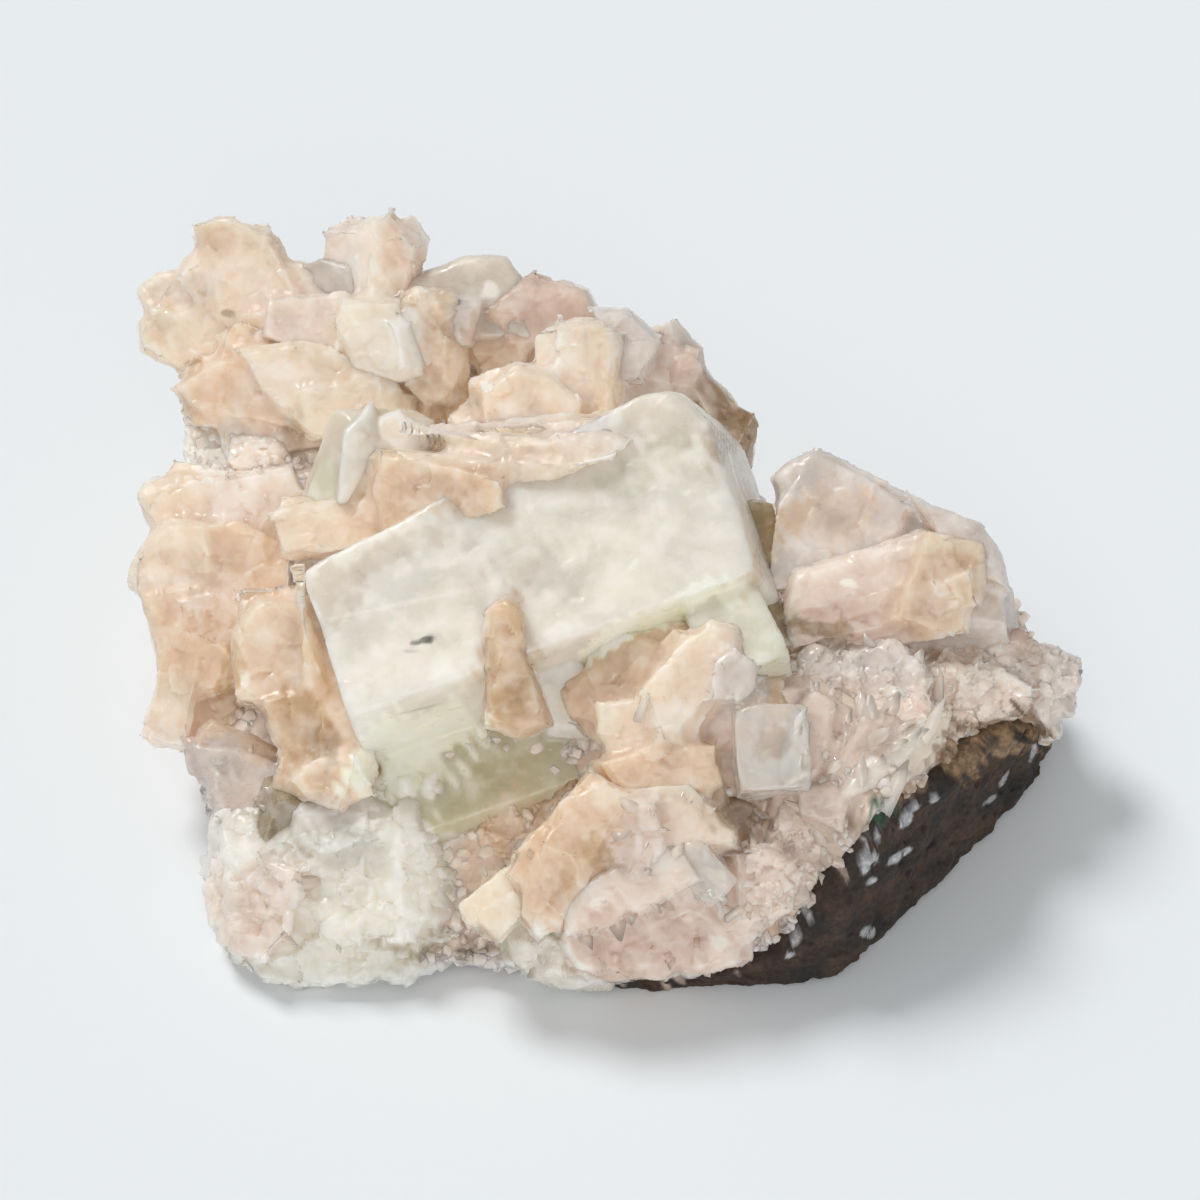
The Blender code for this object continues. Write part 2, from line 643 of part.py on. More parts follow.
def right_druse():
    """The larger crystals of the crust on the right, with the knob at its end."""
    return (
        bundle((23, -14, 15), (24.2, -10, 23.4), 5.5, 5.5, (0.1, -0.7, 0.7), 2, 6, 35)
        + bundle((31, -14.5, 16), (31.5, -10, 24.6), 8.5, 6, (0, -0.7, 0.7), 3, 6, 35)
        + bundle((38, -13, 14), (40, -8.6, 22.2), 7, 6, (0.1, -0.7, 0.7), 2, 6, 35)
        + bundle((41, -7, 12), (46.5, -4, 17.4), 6.5, 6, (0.2, -0.6, 0.77), 2, 8, 35)
        + bundle((43, -7, 11.5), (52.6, -5, 14.6), 6.4, 6.5, (0.1, -0.6, 0.8), 2, 8, 32)
    )


CRYSTALS = [
    (apophyllite_block, PALE_GREEN, 0.25),
    (apophyllite_wedge, DARK_GREEN, 0.2),
    (apophyllite_corner, PALE_GREEN, 0.3),
    (grey_crystal, LILAC, 0.25),
    (apophyllite_cube, CLEAR, 0.15),
    (apophyllite_foot, PALE_GREEN, 0.15),
    (apophyllite_back, SMOKY, 0.25),
    (apophyllite_spike, PALE_GREEN, 0.25),
    (clear_crystal, CLEAR, 0.15),
    (smoky_crystal, SMOKY, 0.3),
    (olive_crystal, OLIVE, 0.3),
    (stilbite_crown, IVORY, 0.4),
    (stilbite_column, PEACH, 0.4),
    (stilbite_fan, PEACH, 0.4),
    (stilbite_tablet, IVORY, 0.4),
    (stilbite_ridge, IVORY, 0.4),
    (stilbite_rear, PINK, 0.4),
    (stilbite_shelf, PEACH, 0.4),
    (stilbite_pillar, PEACH, 0.4),
    (stilbite_bowtie, PEACH, 0.4),
    (stilbite_right, IVORY, 0.4),
    (stilbite_sheaf, PEACH, 0.4),
    (stilbite_pointer, IVORY, 0.4),
    (stilbite_foot, PINK, 0.4),
    (stilbite_front, PEACH, 0.4),
    (heulandite_plates, PINK, 0.35),
    (clear_plates, CLEAR, 0.2),
]


def finish(obj, colour, roughness):
    keep_largest_body(obj)
    obj.data.materials.clear()
    obj.data.materials.append(material(obj.name, colour, roughness))
    obj.hide_render = False
    obj.display_type = "SOLID"


def main():
    clear_scene()
    matrix = basalt_matrix()
    crust = crust_body()
    matrix_cutter = basalt_matrix(grow=GAP, helper=True)
    crust_cutter = crust_body(grow=GAP, helper=True)
    cutters = [matrix_cutter, crust_cutter]
    pieces = []
    for make, colour, roughness in CRYSTALS:
        cells = make()
        piece = joined(make.__name__, cells)
        combine(piece, near(piece, cutters), "DIFFERENCE")
        pieces.append((piece, colour, roughness))
        cutters += [polyhedron("cutter", grown(planes, GAP)) for planes in cells]
    druse = joined("druse", druse_cells() + right_druse())
    combine(druse, near(druse, cutters[2:]), "DIFFERENCE")
    combine(crust, [druse], "UNION")
    combine(crust, [matrix_cutter], "DIFFERENCE")
    remove([druse] + cutters)
    finish(matrix, STONE, 0.85)
    finish(crust, DRUSE, 0.4)
    for piece, colour, roughness in pieces:
        finish(piece, colour, roughness)


main()
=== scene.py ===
import itertools
import math
import random

import bpy
import numpy as np
from mathutils.bvhtree import BVHTree
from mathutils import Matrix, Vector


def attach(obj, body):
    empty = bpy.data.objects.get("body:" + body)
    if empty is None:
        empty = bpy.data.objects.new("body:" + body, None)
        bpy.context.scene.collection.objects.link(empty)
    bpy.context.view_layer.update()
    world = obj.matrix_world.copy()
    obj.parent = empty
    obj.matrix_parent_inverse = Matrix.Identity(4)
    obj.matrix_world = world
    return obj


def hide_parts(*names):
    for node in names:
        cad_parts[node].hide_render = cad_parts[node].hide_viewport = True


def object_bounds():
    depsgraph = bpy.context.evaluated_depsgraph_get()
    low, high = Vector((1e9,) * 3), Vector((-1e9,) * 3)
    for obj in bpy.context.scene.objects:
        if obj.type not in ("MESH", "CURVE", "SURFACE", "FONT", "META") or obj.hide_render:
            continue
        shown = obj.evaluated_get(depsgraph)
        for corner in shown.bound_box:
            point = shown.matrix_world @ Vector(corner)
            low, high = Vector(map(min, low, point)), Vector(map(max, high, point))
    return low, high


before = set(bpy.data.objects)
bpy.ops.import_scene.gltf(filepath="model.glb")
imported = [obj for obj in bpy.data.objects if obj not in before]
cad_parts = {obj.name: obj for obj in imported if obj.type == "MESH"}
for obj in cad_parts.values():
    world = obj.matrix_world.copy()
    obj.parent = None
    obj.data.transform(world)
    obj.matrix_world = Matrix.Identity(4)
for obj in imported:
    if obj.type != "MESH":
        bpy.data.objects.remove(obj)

bl_info = {
    "name": "Crystal cluster",
    "version": (1, 0, 0),
    "blender": (4, 5, 0),
    "location": "View3D > Sidebar > Crystals",
    "description": "Apophyllite and stilbite crystals on a piece of basalt",
    "category": "Object",
}

# The looks of an apophyllite and stilbite cluster on basalt. Blocky crystals are the space inside a set of
# planes, and stilbite sheaves are profiles carried along their length. Lengths here are in millimetres until
# a mesh is made.
MM = 0.001
SEED = 11
CAD_LOW, CAD_HIGH = np.array(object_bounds()) / MM

# The camera looks down at this angle, and a photograph 1200 pixels wide spans VIEW_WIDTH at its target.
PHOTO_PIXELS = 1200
VIEW_WIDTH = 132.0
VIEW_DISTANCE = 900.0
VIEW_ELEVATION = math.radians(50)
VIEW_TARGET = (0.0, 0.0, 20.9)
RIGHT = np.array((1.0, 0.0, 0.0))
UP = np.array((0.0, math.sin(VIEW_ELEVATION), math.cos(VIEW_ELEVATION)))
BACK = np.array((0.0, -math.cos(VIEW_ELEVATION), math.sin(VIEW_ELEVATION)))

# Forms that the solids share with the basalt and the crust
BASALT_LINE = [
    (50.5, -5, 8), (49, 3, 10), (42, 7, 14), (32, 8, 15), (23, 10, 15), (14, 15, 14), (8, 23, 15),
    (0, 28, 16), (-12, 30, 17), (-24, 31, 17), (-35, 30, 16), (-41, 24, 14), (-42, 14, 13),
    (-44, 5, 11), (-43, -6, 8), (-40, -16, 5), (-37, -25, 2.6), (-34, -32, 2), (-25, -34.5, 2),
    (-12, -34, 2), (-3, -36.5, 2.2), (6, -38.2, 2.6), (14, -37.6, 3.2), (20, -37.4, 5.6),
    (26.3, -36.6, 14), (31, -31, 20), (36, -25.4, 19.5), (42, -18, 18), (47, -11, 13.5),
]
BASALT_PLATEAU = 10
CRUST_EDGE = [
    (49.5, -3.5, 12, 1), (47, 1.5, 15, 1), (43, 6, 21, 1), (34, 9, 23, 1), (25, 12, 24, 1), (19, 13, 21, 1),
    (16.5, 17, 20, 1), (14, 23.5, 22, 1), (9, 28.5, 25, 1), (2, 32.5, 27, 1), (-6, 34.5, 28, 1),
    (-15, 35.5, 29, 1), (-25, 36.5, 29, 1), (-34, 37, 28, 1), (-43, 34, 25, 1), (-46, 28, 23, 1),
    (-45, 20, 23, 1), (-46, 12, 20, 1), (-47, 5, 17, 1), (-46, -4, 14, 1), (-44.5, -12, 9.5, 1),
    (-42, -20, 6, 1), (-39.5, -27, 3.6, 1), (-37, -32, 3, 1), (-32, -35, 3, 1), (-24, -35.8, 3, 1),
    (-14, -35.4, 3.2, 1), (-6, -37, 4, 1), (4, -38.4, 6, 1), (13, -37.5, 6.4, 1), (19.5, -35.3, 7, 0),
    (26, -32.6, 15.5, 0), (29.5, -29.6, 21.8, 0), (34, -25.2, 21.6, 0), (39, -17, 20, 0), (44.5, -9, 16, 0),
]
CRUST_CENTRE = 26
CRUST_SWELL = 1.35
SKIRT_RINGS = 26
CAMERA_SIDE = (0, -0.6, 0.8)
BLOCK_FACE = (-0.045, -0.32, 0.947)
BLOCK_FRONT = (0.347, -0.902, -0.259)
BLOCK_DEPTH = 23
CHAMFER = math.radians(35)

# How the crystals are divided
OUTLINE_POWER = 5.0
WIDE_STEPS = 9
THIN_STEPS = 5
WALL_ROWS = 11
CAP_SHARES = (0.94, 0.84, 0.66, 0.42, 0.2)
SHEAF_RELIEF = 0.12
SHEAF_FLARE = 0.12
BLADE_OVERLAP = 1.5
FOOT_SPREAD = 0.7
SLAB_DEPTH = 6.0
SLAB_WALL_LEAN = 0.06
SLAB_CHAMFERS = (28, 58)
SLAB_INSETS = (0.15, 0.9)
FACE_SPACING = 0.7
CRISP_POWER = 60.0
SLAB_POWER = 40.0
SOFT_POWER = 30.0
BOX_GAP = 0.3
MESH_GAP = 0.02
FILL = 0.85
BLEND = 0.45

# Colours of the minerals, linear. Some also serve for painted glints, painted shade and painted light.
COLOURS = {
    "ivory": (0.84, 0.70, 0.56),
    "cream": (0.84, 0.74, 0.60),
    "peach": (0.78, 0.59, 0.43),
    "tan": (0.70, 0.53, 0.38),
    "golden": (0.55, 0.36, 0.18),
    "pink_white": (0.82, 0.69, 0.60),
    "pink": (0.68, 0.52, 0.43),
    # white: the palest mineral colour, and also painted glints and reflections
    "white": (0.93, 0.88, 0.80),
    "milk": (0.84, 0.79, 0.69),
    "grey_milk": (0.72, 0.70, 0.64),
    "milk_green": (0.70, 0.69, 0.54),
    "green": (0.56, 0.51, 0.33),
    "olive": (0.34, 0.27, 0.15),
    "lilac": (0.70, 0.63, 0.58),
    "grey": (0.66, 0.59, 0.50),
    "smoke": (0.50, 0.45, 0.40),
    # brown: real stains and specks, and also painted shade in recesses and under crystals
    "brown": (0.32, 0.21, 0.12),
    "dark_brown": (0.14, 0.075, 0.04),
    "black": (0.02, 0.016, 0.014),
    "clear": (0.90, 0.89, 0.86),
    # A pale green lighter than the crystal itself: painted light on the big block's front strips, which face
    # down into shade
    "pale_green_painted_light": (0.95, 0.94, 0.79),
    "ochre": (0.30, 0.19, 0.10),
    "teal": (0.06, 0.13, 0.09),
    "lime": (0.50, 0.51, 0.52),
}


# Measures and noise

def unit(vector):
    vector = np.array(vector, float)
    return vector / np.linalg.norm(vector, axis=-1, keepdims=True)


def ripple(points, size, phase):
    """Smooth unevenness between about -1 and 1: six waves, each along its own direction and with a length
    near size, are added up, and a seventh bends their phases."""
    chance = np.random.default_rng(SEED * 1000 + int(phase * 10))
    ways = unit(chance.normal(size=(7, 3)))
    lengths = size * chance.uniform(0.75, 1.6, 7)
    shifts = chance.uniform(0, 2 * math.pi, 7)
    warp = 1.2 * np.sin(points @ ways[6] * 2 * math.pi / (size * 1.7) + shifts[6])
    total = np.zeros(points.shape[:-1])
    for way, length, shift in zip(ways[:6], lengths, shifts):
        total += np.sin(points @ way * 2 * math.pi / length + shift + warp)
    return total / 3.2


def chances(cells, phase):
    """Three numbers from 0 to 1 for each cell: the fractions of large multiples of sines."""
    ways = np.array([[127.1, 311.7, 74.7], [269.5, 183.3, 246.1], [113.5, 271.9, 124.6]])
    return np.modf(np.abs(np.sin(cells @ ways.T + phase) * 43758.5453))[0]


def chips(points, size, tilt, phase):
    """Small flat chips: the space is divided by the nearest of some jittered points, and each share has a
    plane of its own, leaning by up to tilt."""
    cells = np.floor(points / size)
    best = np.full(len(points), 1e9)
    height = np.zeros(len(points))
    for step in itertools.product((-1, 0, 1), repeat=3):
        near = cells + step
        offset = points - (near + chances(near, phase)) * size
        away = (offset ** 2).sum(axis=1)
        lean = (chances(near, phase + 7) - 0.5) * 2 * tilt
        closer = away < best
        best = np.where(closer, away, best)
        height = np.where(closer, (offset * lean).sum(axis=1), height)
    return height


def on_photo(points):
    """Columns and rows of the photograph for points, and how near each is to the camera."""
    offset = points - np.array(VIEW_TARGET)
    nearness = offset @ BACK
    scale = VIEW_DISTANCE / (VIEW_DISTANCE - nearness) * PHOTO_PIXELS / VIEW_WIDTH
    return PHOTO_PIXELS / 2 + offset @ RIGHT * scale, PHOTO_PIXELS / 2 - offset @ UP * scale, nearness


def colour(name):
    return np.array(COLOURS[name])


# Crystals as the space inside planes

def corners_inside(planes):
    """The corners of the space where normal . point <= distance for every plane."""
    normals = np.array([normal for normal, _ in planes])
    distances = np.array([distance for _, distance in planes])
    trios = np.array(list(itertools.combinations(range(len(planes)), 3)))
    blocks = normals[trios]
    crossing = np.abs(np.linalg.det(blocks)) > 1e-4
    points = np.linalg.solve(blocks[crossing], distances[trios[crossing]][..., None])[..., 0]
    inside = (points @ normals.T <= distances + 1e-5).all(axis=1)
    return np.unique(np.round(points[inside], 4), axis=0)


def planes_through(pairs):
    """Planes from (normal, point on the plane) pairs."""
    return [(unit(normal), float(unit(normal) @ np.array(point, float))) for normal, point in pairs]


def frame_of(along, facing):
    """Unit vectors along a crystal, across its width and out of its broad face."""
    along = unit(along)
    out = np.array(facing, float)
    out = unit(out - along * (out @ along))
    return along, np.cross(out, along), out


def blade(foot, tip, width, thick, facing=CAMERA_SIDE, point=40):
    """A tabular crystal from foot to tip with a roof-shaped end, whose slope in degrees is point."""
    foot, tip = np.array(foot, float), np.array(tip, float)
    along, across, out = frame_of(tip - foot, facing)
    middle = (foot + tip) / 2
    slope = math.radians(point)
    planes = [(-along, float(-along @ foot)), (out, float(out @ middle) + thick / 2)]
    planes.append((-out, float(-out @ middle) + thick / 2))
    chamfer = along * math.cos(CHAMFER) + out * math.sin(CHAMFER)
    planes.append((chamfer, float(chamfer @ tip) + 0.1 * thick))
    for side in (1, -1):
        wall = side * across
        planes.append((wall, float(wall @ middle) + width / 2))
        roof = along * math.cos(slope) + side * across * math.sin(slope)
        planes.append((roof, float(roof @ tip)))
    return planes


def block(centre, along, facing, size, corner=0.0):
    """A tetragonal prism of size (length, width, height) with its corners cut by corner times its half
    diagonal."""
    centre, size = np.array(centre, float), np.array(size, float)
    axes = np.array(frame_of(along, facing))
    half = size / 2
    planes = []
    for axis, reach in zip(axes, half):
        planes += [(axis, float(axis @ centre) + reach), (-axis, float(-axis @ centre) + reach)]
    for signs in itertools.product((1, -1), repeat=3):
        normal = unit(np.array(signs) / half @ axes)
        reach = float(normal @ (np.array(signs) * half @ axes)) * (1 - corner)
        planes.append((normal, float(normal @ centre) + reach))
    return planes


def outline_of(corners, spacing):
    """Points round a polygon, each edge divided alike from both of its sides."""
    points = []
    for a, b in zip(corners, np.roll(corners, -1, axis=0)):
        count = max(1, round(float(np.linalg.norm(b - a)) / spacing))
        points.append(a + (b - a) * (np.arange(count) / count)[:, None])
    return np.vstack(points)


def ring_shares(inner, spacing, edge):
    """Shares of the way from a face's outline to its middle, close together near the outline."""
    near = [1.0, 1 - min(0.3, 0.5 * edge / inner), 1 - min(0.5, 1.3 * edge / inner)]
    count = max(2, round(inner * near[-1] / spacing))
    return np.array(near + [near[-1] * (1 - i / count) for i in range(1, count)])


def face_grid(corners, normal, spacing, edge):
    """The grid of one face, with the points on its outline carried towards its middle: a point is
    middle + share * (outline - middle)."""
    middle = corners.mean(axis=0)
    side = unit(corners[0] - middle)
    other = np.cross(normal, side)
    turn = np.arctan2((corners - middle) @ other, (corners - middle) @ side)
    outline = outline_of(corners[np.argsort(turn)], spacing)
    inner = max(0.2, float(np.linalg.norm(outline - middle, axis=1).min()))
    shares = ring_shares(inner, spacing, edge)
    grid = middle + shares[:, None, None] * (outline - middle)
    rows, columns = grid.shape[:2]
    index = np.arange(rows * columns).reshape(rows, columns)
    beside = np.roll(index, -1, axis=1)
    quads = np.stack([index[:-1], beside[:-1], beside[1:], index[1:]], axis=-1).reshape(-1, 4)
    hub = np.full(columns, rows * columns)
    fans = np.stack([index[-1], beside[-1], hub, hub], axis=-1)
    return np.vstack([grid.reshape(-1, 3), middle]), np.vstack([quads, fans])


def faceted(planes, sharpness):
    """A crystal inside planes, with its edges eased: along each direction from the middle, its reach is the
    power mean of the distances to the planes, and it is sharper with a higher power."""
    corners = corners_inside(planes)
    centre = corners.mean(axis=0)
    normals = np.array([normal for normal, _ in planes])
    gaps = np.array([distance for _, distance in planes]) - normals @ centre
    points, faces, count = [], [], 0
    for normal, distance in planes:
        own = corners[np.abs(corners @ normal - distance) < 2e-3]
        if len(own) < 3:
            continue
        grid, quads = face_grid(own, normal, FACE_SPACING, edge=FACE_SPACING)
        points.append(grid)
        faces.append(quads + count)
        count += len(grid)
    points, faces = weld(np.vstack(points), np.vstack(faces))
    ways = unit(points - centre)
    pull = np.maximum(ways @ normals.T / gaps, 0)
    most = pull.max(axis=1, keepdims=True)
    weights = (pull / most) ** sharpness
    reach = 1 / (most[:, 0] * weights.sum(axis=1) ** (1 / sharpness))
    return centre + ways * reach[:, None], faces


def weld(points, faces):
    """One point for those that lie together, and no face on fewer than three."""
    _, first, inverse = np.unique(np.round(points, 3), axis=0, return_index=True, return_inverse=True)
    faces = inverse.reshape(-1)[faces]
    whole = (faces[:, 0] != faces[:, 1]) & (faces[:, 1] != faces[:, 2]) & (faces[:, 0] != faces[:, 2])
    return points[first], faces[whole & (faces[:, 0] != faces[:, 3])]


# Crystals by the outline that the camera sees

def seen_ray(u, v):
    """Where the camera stands, and the way from it through a column and a row of the photograph."""
    step = VIEW_WIDTH / PHOTO_PIXELS
    aim = np.array(VIEW_TARGET) + RIGHT * (u - PHOTO_PIXELS / 2) * step + UP * (PHOTO_PIXELS / 2 - v) * step
    camera = np.array(VIEW_TARGET) + BACK * VIEW_DISTANCE
    return camera, unit(aim - camera)


def solid_tree():
    """The solids of the frame as one tree to cast rays at."""
    points, faces, count = [], [], 0
    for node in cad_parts.values():
        size = len(node.data.vertices)
        rows = np.empty(size * 3, np.float32)
        node.data.vertices.foreach_get("co", rows)
        points.append(rows.reshape(-1, 3) / MM)
        corners = np.empty(len(node.data.loops), np.int32)
        node.data.loops.foreach_get("vertex_index", corners)
        faces.append(corners.reshape(-1, 3) + count)
        count += size
    return BVHTree.FromPolygons(np.vstack(points).tolist(), np.vstack(faces).tolist())


def slab_planes(row, tree):
    """The planes of a crystal by its outline in the photograph. Its face leans by row's tilt and stands lift
    above the solid behind the outline's middle; its walls fall back from the outline, and each edge has a
    chamfer of its own."""
    name, _, tilt, lift, outline = row
    outline = np.reshape(outline, (-1, 2))
    chance = random.Random(f"{SEED} {name}")
    camera, middle_ray = seen_ray(*np.mean(outline, axis=0))
    hit = tree.ray_cast(camera.tolist(), middle_ray.tolist())[0]
    if hit is None:
        raise RuntimeError(f"{name} has no solid behind it")
    level = np.array(hit) - middle_ray * lift
    normal = unit(BACK + RIGHT * tilt[0] + UP * tilt[1])
    rays = np.array([seen_ray(u, v)[1] for u, v in outline])
    corners = camera + rays * ((level - camera) @ normal / (rays @ normal))[:, None]
    centre = corners.mean(axis=0)
    planes = [(normal, float(normal @ centre)), (-normal, float(-normal @ centre) + SLAB_DEPTH)]
    for axis, low, high in zip(np.eye(3), CAD_LOW, CAD_HIGH):
        planes += [(axis, high - BOX_GAP), (-axis, -low - BOX_GAP)]
    for a, b in zip(corners, np.roll(corners, -1, axis=0)):
        wall = np.cross(b - a, BACK)
        wall = unit(wall if wall @ (a + b - 2 * centre) > 0 else -wall)
        side = unit(wall + BACK * SLAB_WALL_LEAN)
        planes.append((side, float(side @ a)))
        turn = math.radians(chance.uniform(*SLAB_CHAMFERS))
        cut = unit(normal * math.cos(turn) + wall * math.sin(turn))
        planes.append((cut, float(cut @ ((a + b) / 2 - wall * chance.uniform(*SLAB_INSETS)))))
    return planes


# Sheaves: profiles carried along their length

def square_outline():
    """Points round a square of half side 1, more on its wide sides, pulled in to a rounded outline: each is
    divided by the power mean of its two coordinates."""
    wide = np.linspace(-1, 1, WIDE_STEPS, endpoint=False)
    thin = np.linspace(-1, 1, THIN_STEPS, endpoint=False)
    x = np.concatenate([wide, np.ones(THIN_STEPS), -wide, -np.ones(THIN_STEPS)])
    y = np.concatenate([-np.ones(WIDE_STEPS), thin, np.ones(WIDE_STEPS), -thin])
    size = (np.abs(x) ** OUTLINE_POWER + np.abs(y) ** OUTLINE_POWER) ** (1 / OUTLINE_POWER)
    return x / size, y / size


def bundle_blades(row):
    """The blades of one sheaf as rows of numbers: the solid's blades side by side, and on each of them two
    narrower ones that stand a little proud or fall short."""
    foot, tip, width, thick, facing, count, fan, point, name, root = row
    foot, tip = np.array(foot, float), np.array(tip, float)
    along, across, out = frame_of(tip - foot, facing)
    length = np.linalg.norm(tip - foot)
    chance = random.Random(f"{SEED} {foot} {tip}")
    share = width / count
    shared = (SHEAF_FLARE, *colour(root), *colour(name))
    made = []
    for i in range(count):
        place = i - (count - 1) / 2
        angle = math.radians(fan * place)
        turned = along * math.cos(angle) + across * math.sin(angle)
        start = foot + across * share * place * FOOT_SPREAD + out * chance.uniform(-0.12, 0.12) * thick
        reach = length * (1 - 0.07 * place * place - chance.uniform(0, 0.06)) if count > 1 else length
        body = thick * (1 - 0.1 * abs(place) - chance.uniform(0, 0.08))
        made.append((*start, *turned, *out, reach, share * BLADE_OVERLAP, body, point, *shared, 0.0))
        for side in (-1, 1):
            offset = side * share * chance.uniform(0.2, 0.4)
            lift = body * chance.uniform(-0.02, 0.06)
            short = reach * chance.uniform(0.8, 0.985)
            narrow = share * chance.uniform(0.6, 0.95)
            twist = math.radians(chance.uniform(-4, 4))
            way = turned * math.cos(twist) + across * math.sin(twist)
            made.append((*(start + across * offset + out * lift), *way, *out, short, narrow, body * 0.96,
                         point + chance.uniform(-6, 6), *shared, chance.uniform(-1, 1)))
    return made


def blade_table(rows):
    """Every blade of some sheaves, as one array for each of its measures."""
    values = np.array([blade for row in rows for blade in bundle_blades(row)])
    along, out = unit(values[:, 3:6]), values[:, 6:9]
    out = unit(out - along * (out * along).sum(axis=1, keepdims=True))
    return {"start": values[:, :3], "along": along, "across": np.cross(out, along), "out": out,
            "length": values[:, 9], "width": values[:, 10], "thick": values[:, 11], "slope": values[:, 12],
            "flare": values[:, 13], "root": values[:, 14:17], "tip": values[:, 17:20], "shade": values[:, 20]}


def blade_shells(table):
    """Each blade as a rounded oblong outline carried along its length and then drawn in over a roof. With a
    across and b out of the blade, the roof's height is length - |a| tan(slope), cut by a chamfer towards the
    broad face. The blade widens towards its tip by flare, and a ripple moves its walls."""
    length, width, thick, slope, flare = (table[name][:, None, None] for name in
                                          ("length", "width", "thick", "slope", "flare"))
    start, along, across, out = (table[name][:, None, None] for name in ("start", "along", "across", "out"))
    x, y = square_outline()
    shares = np.concatenate([np.ones(WALL_ROWS), CAP_SHARES])[None, :, None]
    climb = np.concatenate([np.linspace(0, 1, WALL_ROWS), np.ones(len(CAP_SHARES))])[None, :, None]
    grown = 1 - flare * (1 - climb)
    a = width / 2 * x * shares * grown
    b = thick / 2 * y * shares * grown
    roof = length - (np.sqrt(a * a + 0.04) - 0.2) * np.tan(np.radians(slope))
    cut = length + 0.12 * thick - b * math.tan(CHAMFER)
    height = np.minimum(roof, cut) - 0.25 * np.exp(-np.abs(roof - cut) / 0.5)
    z = height * climb
    points = start + across * a[..., None] + out * b[..., None] + along * z[..., None]
    ways = across * x[None, None, :, None] + out * y[None, None, :, None]
    ways = ways + along * (1 - shares[..., None]) * 1.5
    uneven = ripple(points, 5.0, 2.0) + 0.5 * ripple(points, 1.9, 4.0)
    points = points + unit(ways) * (SHEAF_RELIEF * uneven)[..., None]
    count, rows, columns = points.shape[:3]
    tops = (start + along * (length - 0.15)[..., None]).reshape(count, 1, 3)
    solid = np.concatenate([points.reshape(count, -1, 3), tops, table["start"][:, None]], axis=1)
    faces = polar_faces(rows, columns)[None] + (np.arange(count) * solid.shape[1])[:, None, None]
    return solid.reshape(-1, 3), faces.reshape(-1, 4)


def nearest_blade(points, table):
    """For each point the blade whose outside it lies on, and its place in that blade: across, out, along."""
    offset = points[:, None] - table["start"]
    a, b, z = ((offset * table[name]).sum(axis=2) for name in ("across", "out", "along"))
    roof = z + np.abs(a) * np.tan(np.radians(table["slope"])) - table["length"]
    outside = np.maximum(np.abs(a) - table["width"] / 2, np.abs(b) - table["thick"] / 2)
    outside = np.maximum(outside, np.maximum(roof, -z))
    pick = outside.argmin(axis=1)
    row = np.arange(len(points))
    return pick, np.stack([a[row, pick], b[row, pick], z[row, pick]], axis=1), outside[row, pick]


def grown_by(planes, amount):
    """The planes moved outwards."""
    return [(normal, distance + amount) for normal, distance in planes]


def sheaf_form(rows, slabs=(), tree=None, grain=0.3, rounds=3, fill=FILL, chip=0.1):
    """A sheaf's blades and slabs as one surface with lumps, growth steps, chips and fine grooves along each
    blade. They are made larger by fill, joined, and drawn in by as much, which fills narrow clefts. The
    colour is a blend of those of the crystals near a point."""
    table = blade_table(rows)
    outlines = [slab_planes(row, tree) for row in slabs]
    shells = [faceted(grown_by(planes, fill), SOFT_POWER) for planes in outlines]
    points, faces, normals = merged([blade_shells(grown_table(table, fill)), *shells], grain, rounds)
    points = points - normals * fill
    pick, local, outside = nearest_blade(points, table)
    share = np.clip(local[:, 2] / table["length"][pick] * 1.5 - 0.35, 0, 1) ** 1.2
    tints = [mixed(table["root"][pick], table["tip"][pick], share) * (1 + 0.05 * table["shade"][pick, None])]
    gaps = [outside + 0.15]
    for (_, name, _, _, _), planes in zip(slabs, outlines):
        tints.append(np.tile(colour(name), (len(points), 1)))
        gaps.append(max_outside(points, planes))
    gaps = np.array(gaps)
    weights = np.exp((gaps.min(axis=0) - gaps) / BLEND)
    tint = (np.array(tints) * weights[..., None]).sum(axis=0) / weights.sum(axis=0)[:, None]
    fluted = np.where(gaps[0] <= gaps.min(axis=0) + 1e-6, 1.0, 0.3)
    local = local + pick[:, None] * 3.7
    move = 0.12 * ripple(points, 4.2, 5) + 0.12 * terraces(local * (1, 1, 0.4), 3.2, 2.5, 6) * fluted
    move += 0.03 * ripple(local * (1, 1, 0.12), 0.8, 7) * fluted
    move += chips(points, 2.6, chip, 3) + chips(points, 1.1, chip, 4)
    return points + normals * move[:, None], faces, tint


def grown_table(table, amount):
    """The blades made larger all round."""
    grown = dict(table)
    grown["start"] = table["start"] - table["along"] * amount
    grown["length"] = table["length"] + 2 * amount
    grown["width"] = table["width"] + 2 * amount
    grown["thick"] = table["thick"] + 2 * amount
    return grown


def terraces(points, size, steps, phase):
    """A ripple cut into flat steps with short rises between them."""
    level = ripple(points, size, phase) * steps
    low = np.floor(level)
    rise = np.clip((level - low - 0.72) / 0.28, 0, 1)
    return (low + rise * rise * (3 - 2 * rise)) / steps


def mixed(first, second, share):
    share = np.asarray(share)[..., None]
    return first * (1 - share) + second * share


# Blocky crystals grown into each other

def crystal(planes, first, second=None, spread=0.5, size=6.0, sharpness=CRISP_POWER):
    return {"planes": planes, "first": first, "second": second or first, "spread": spread, "size": size,
            "sharpness": sharpness}


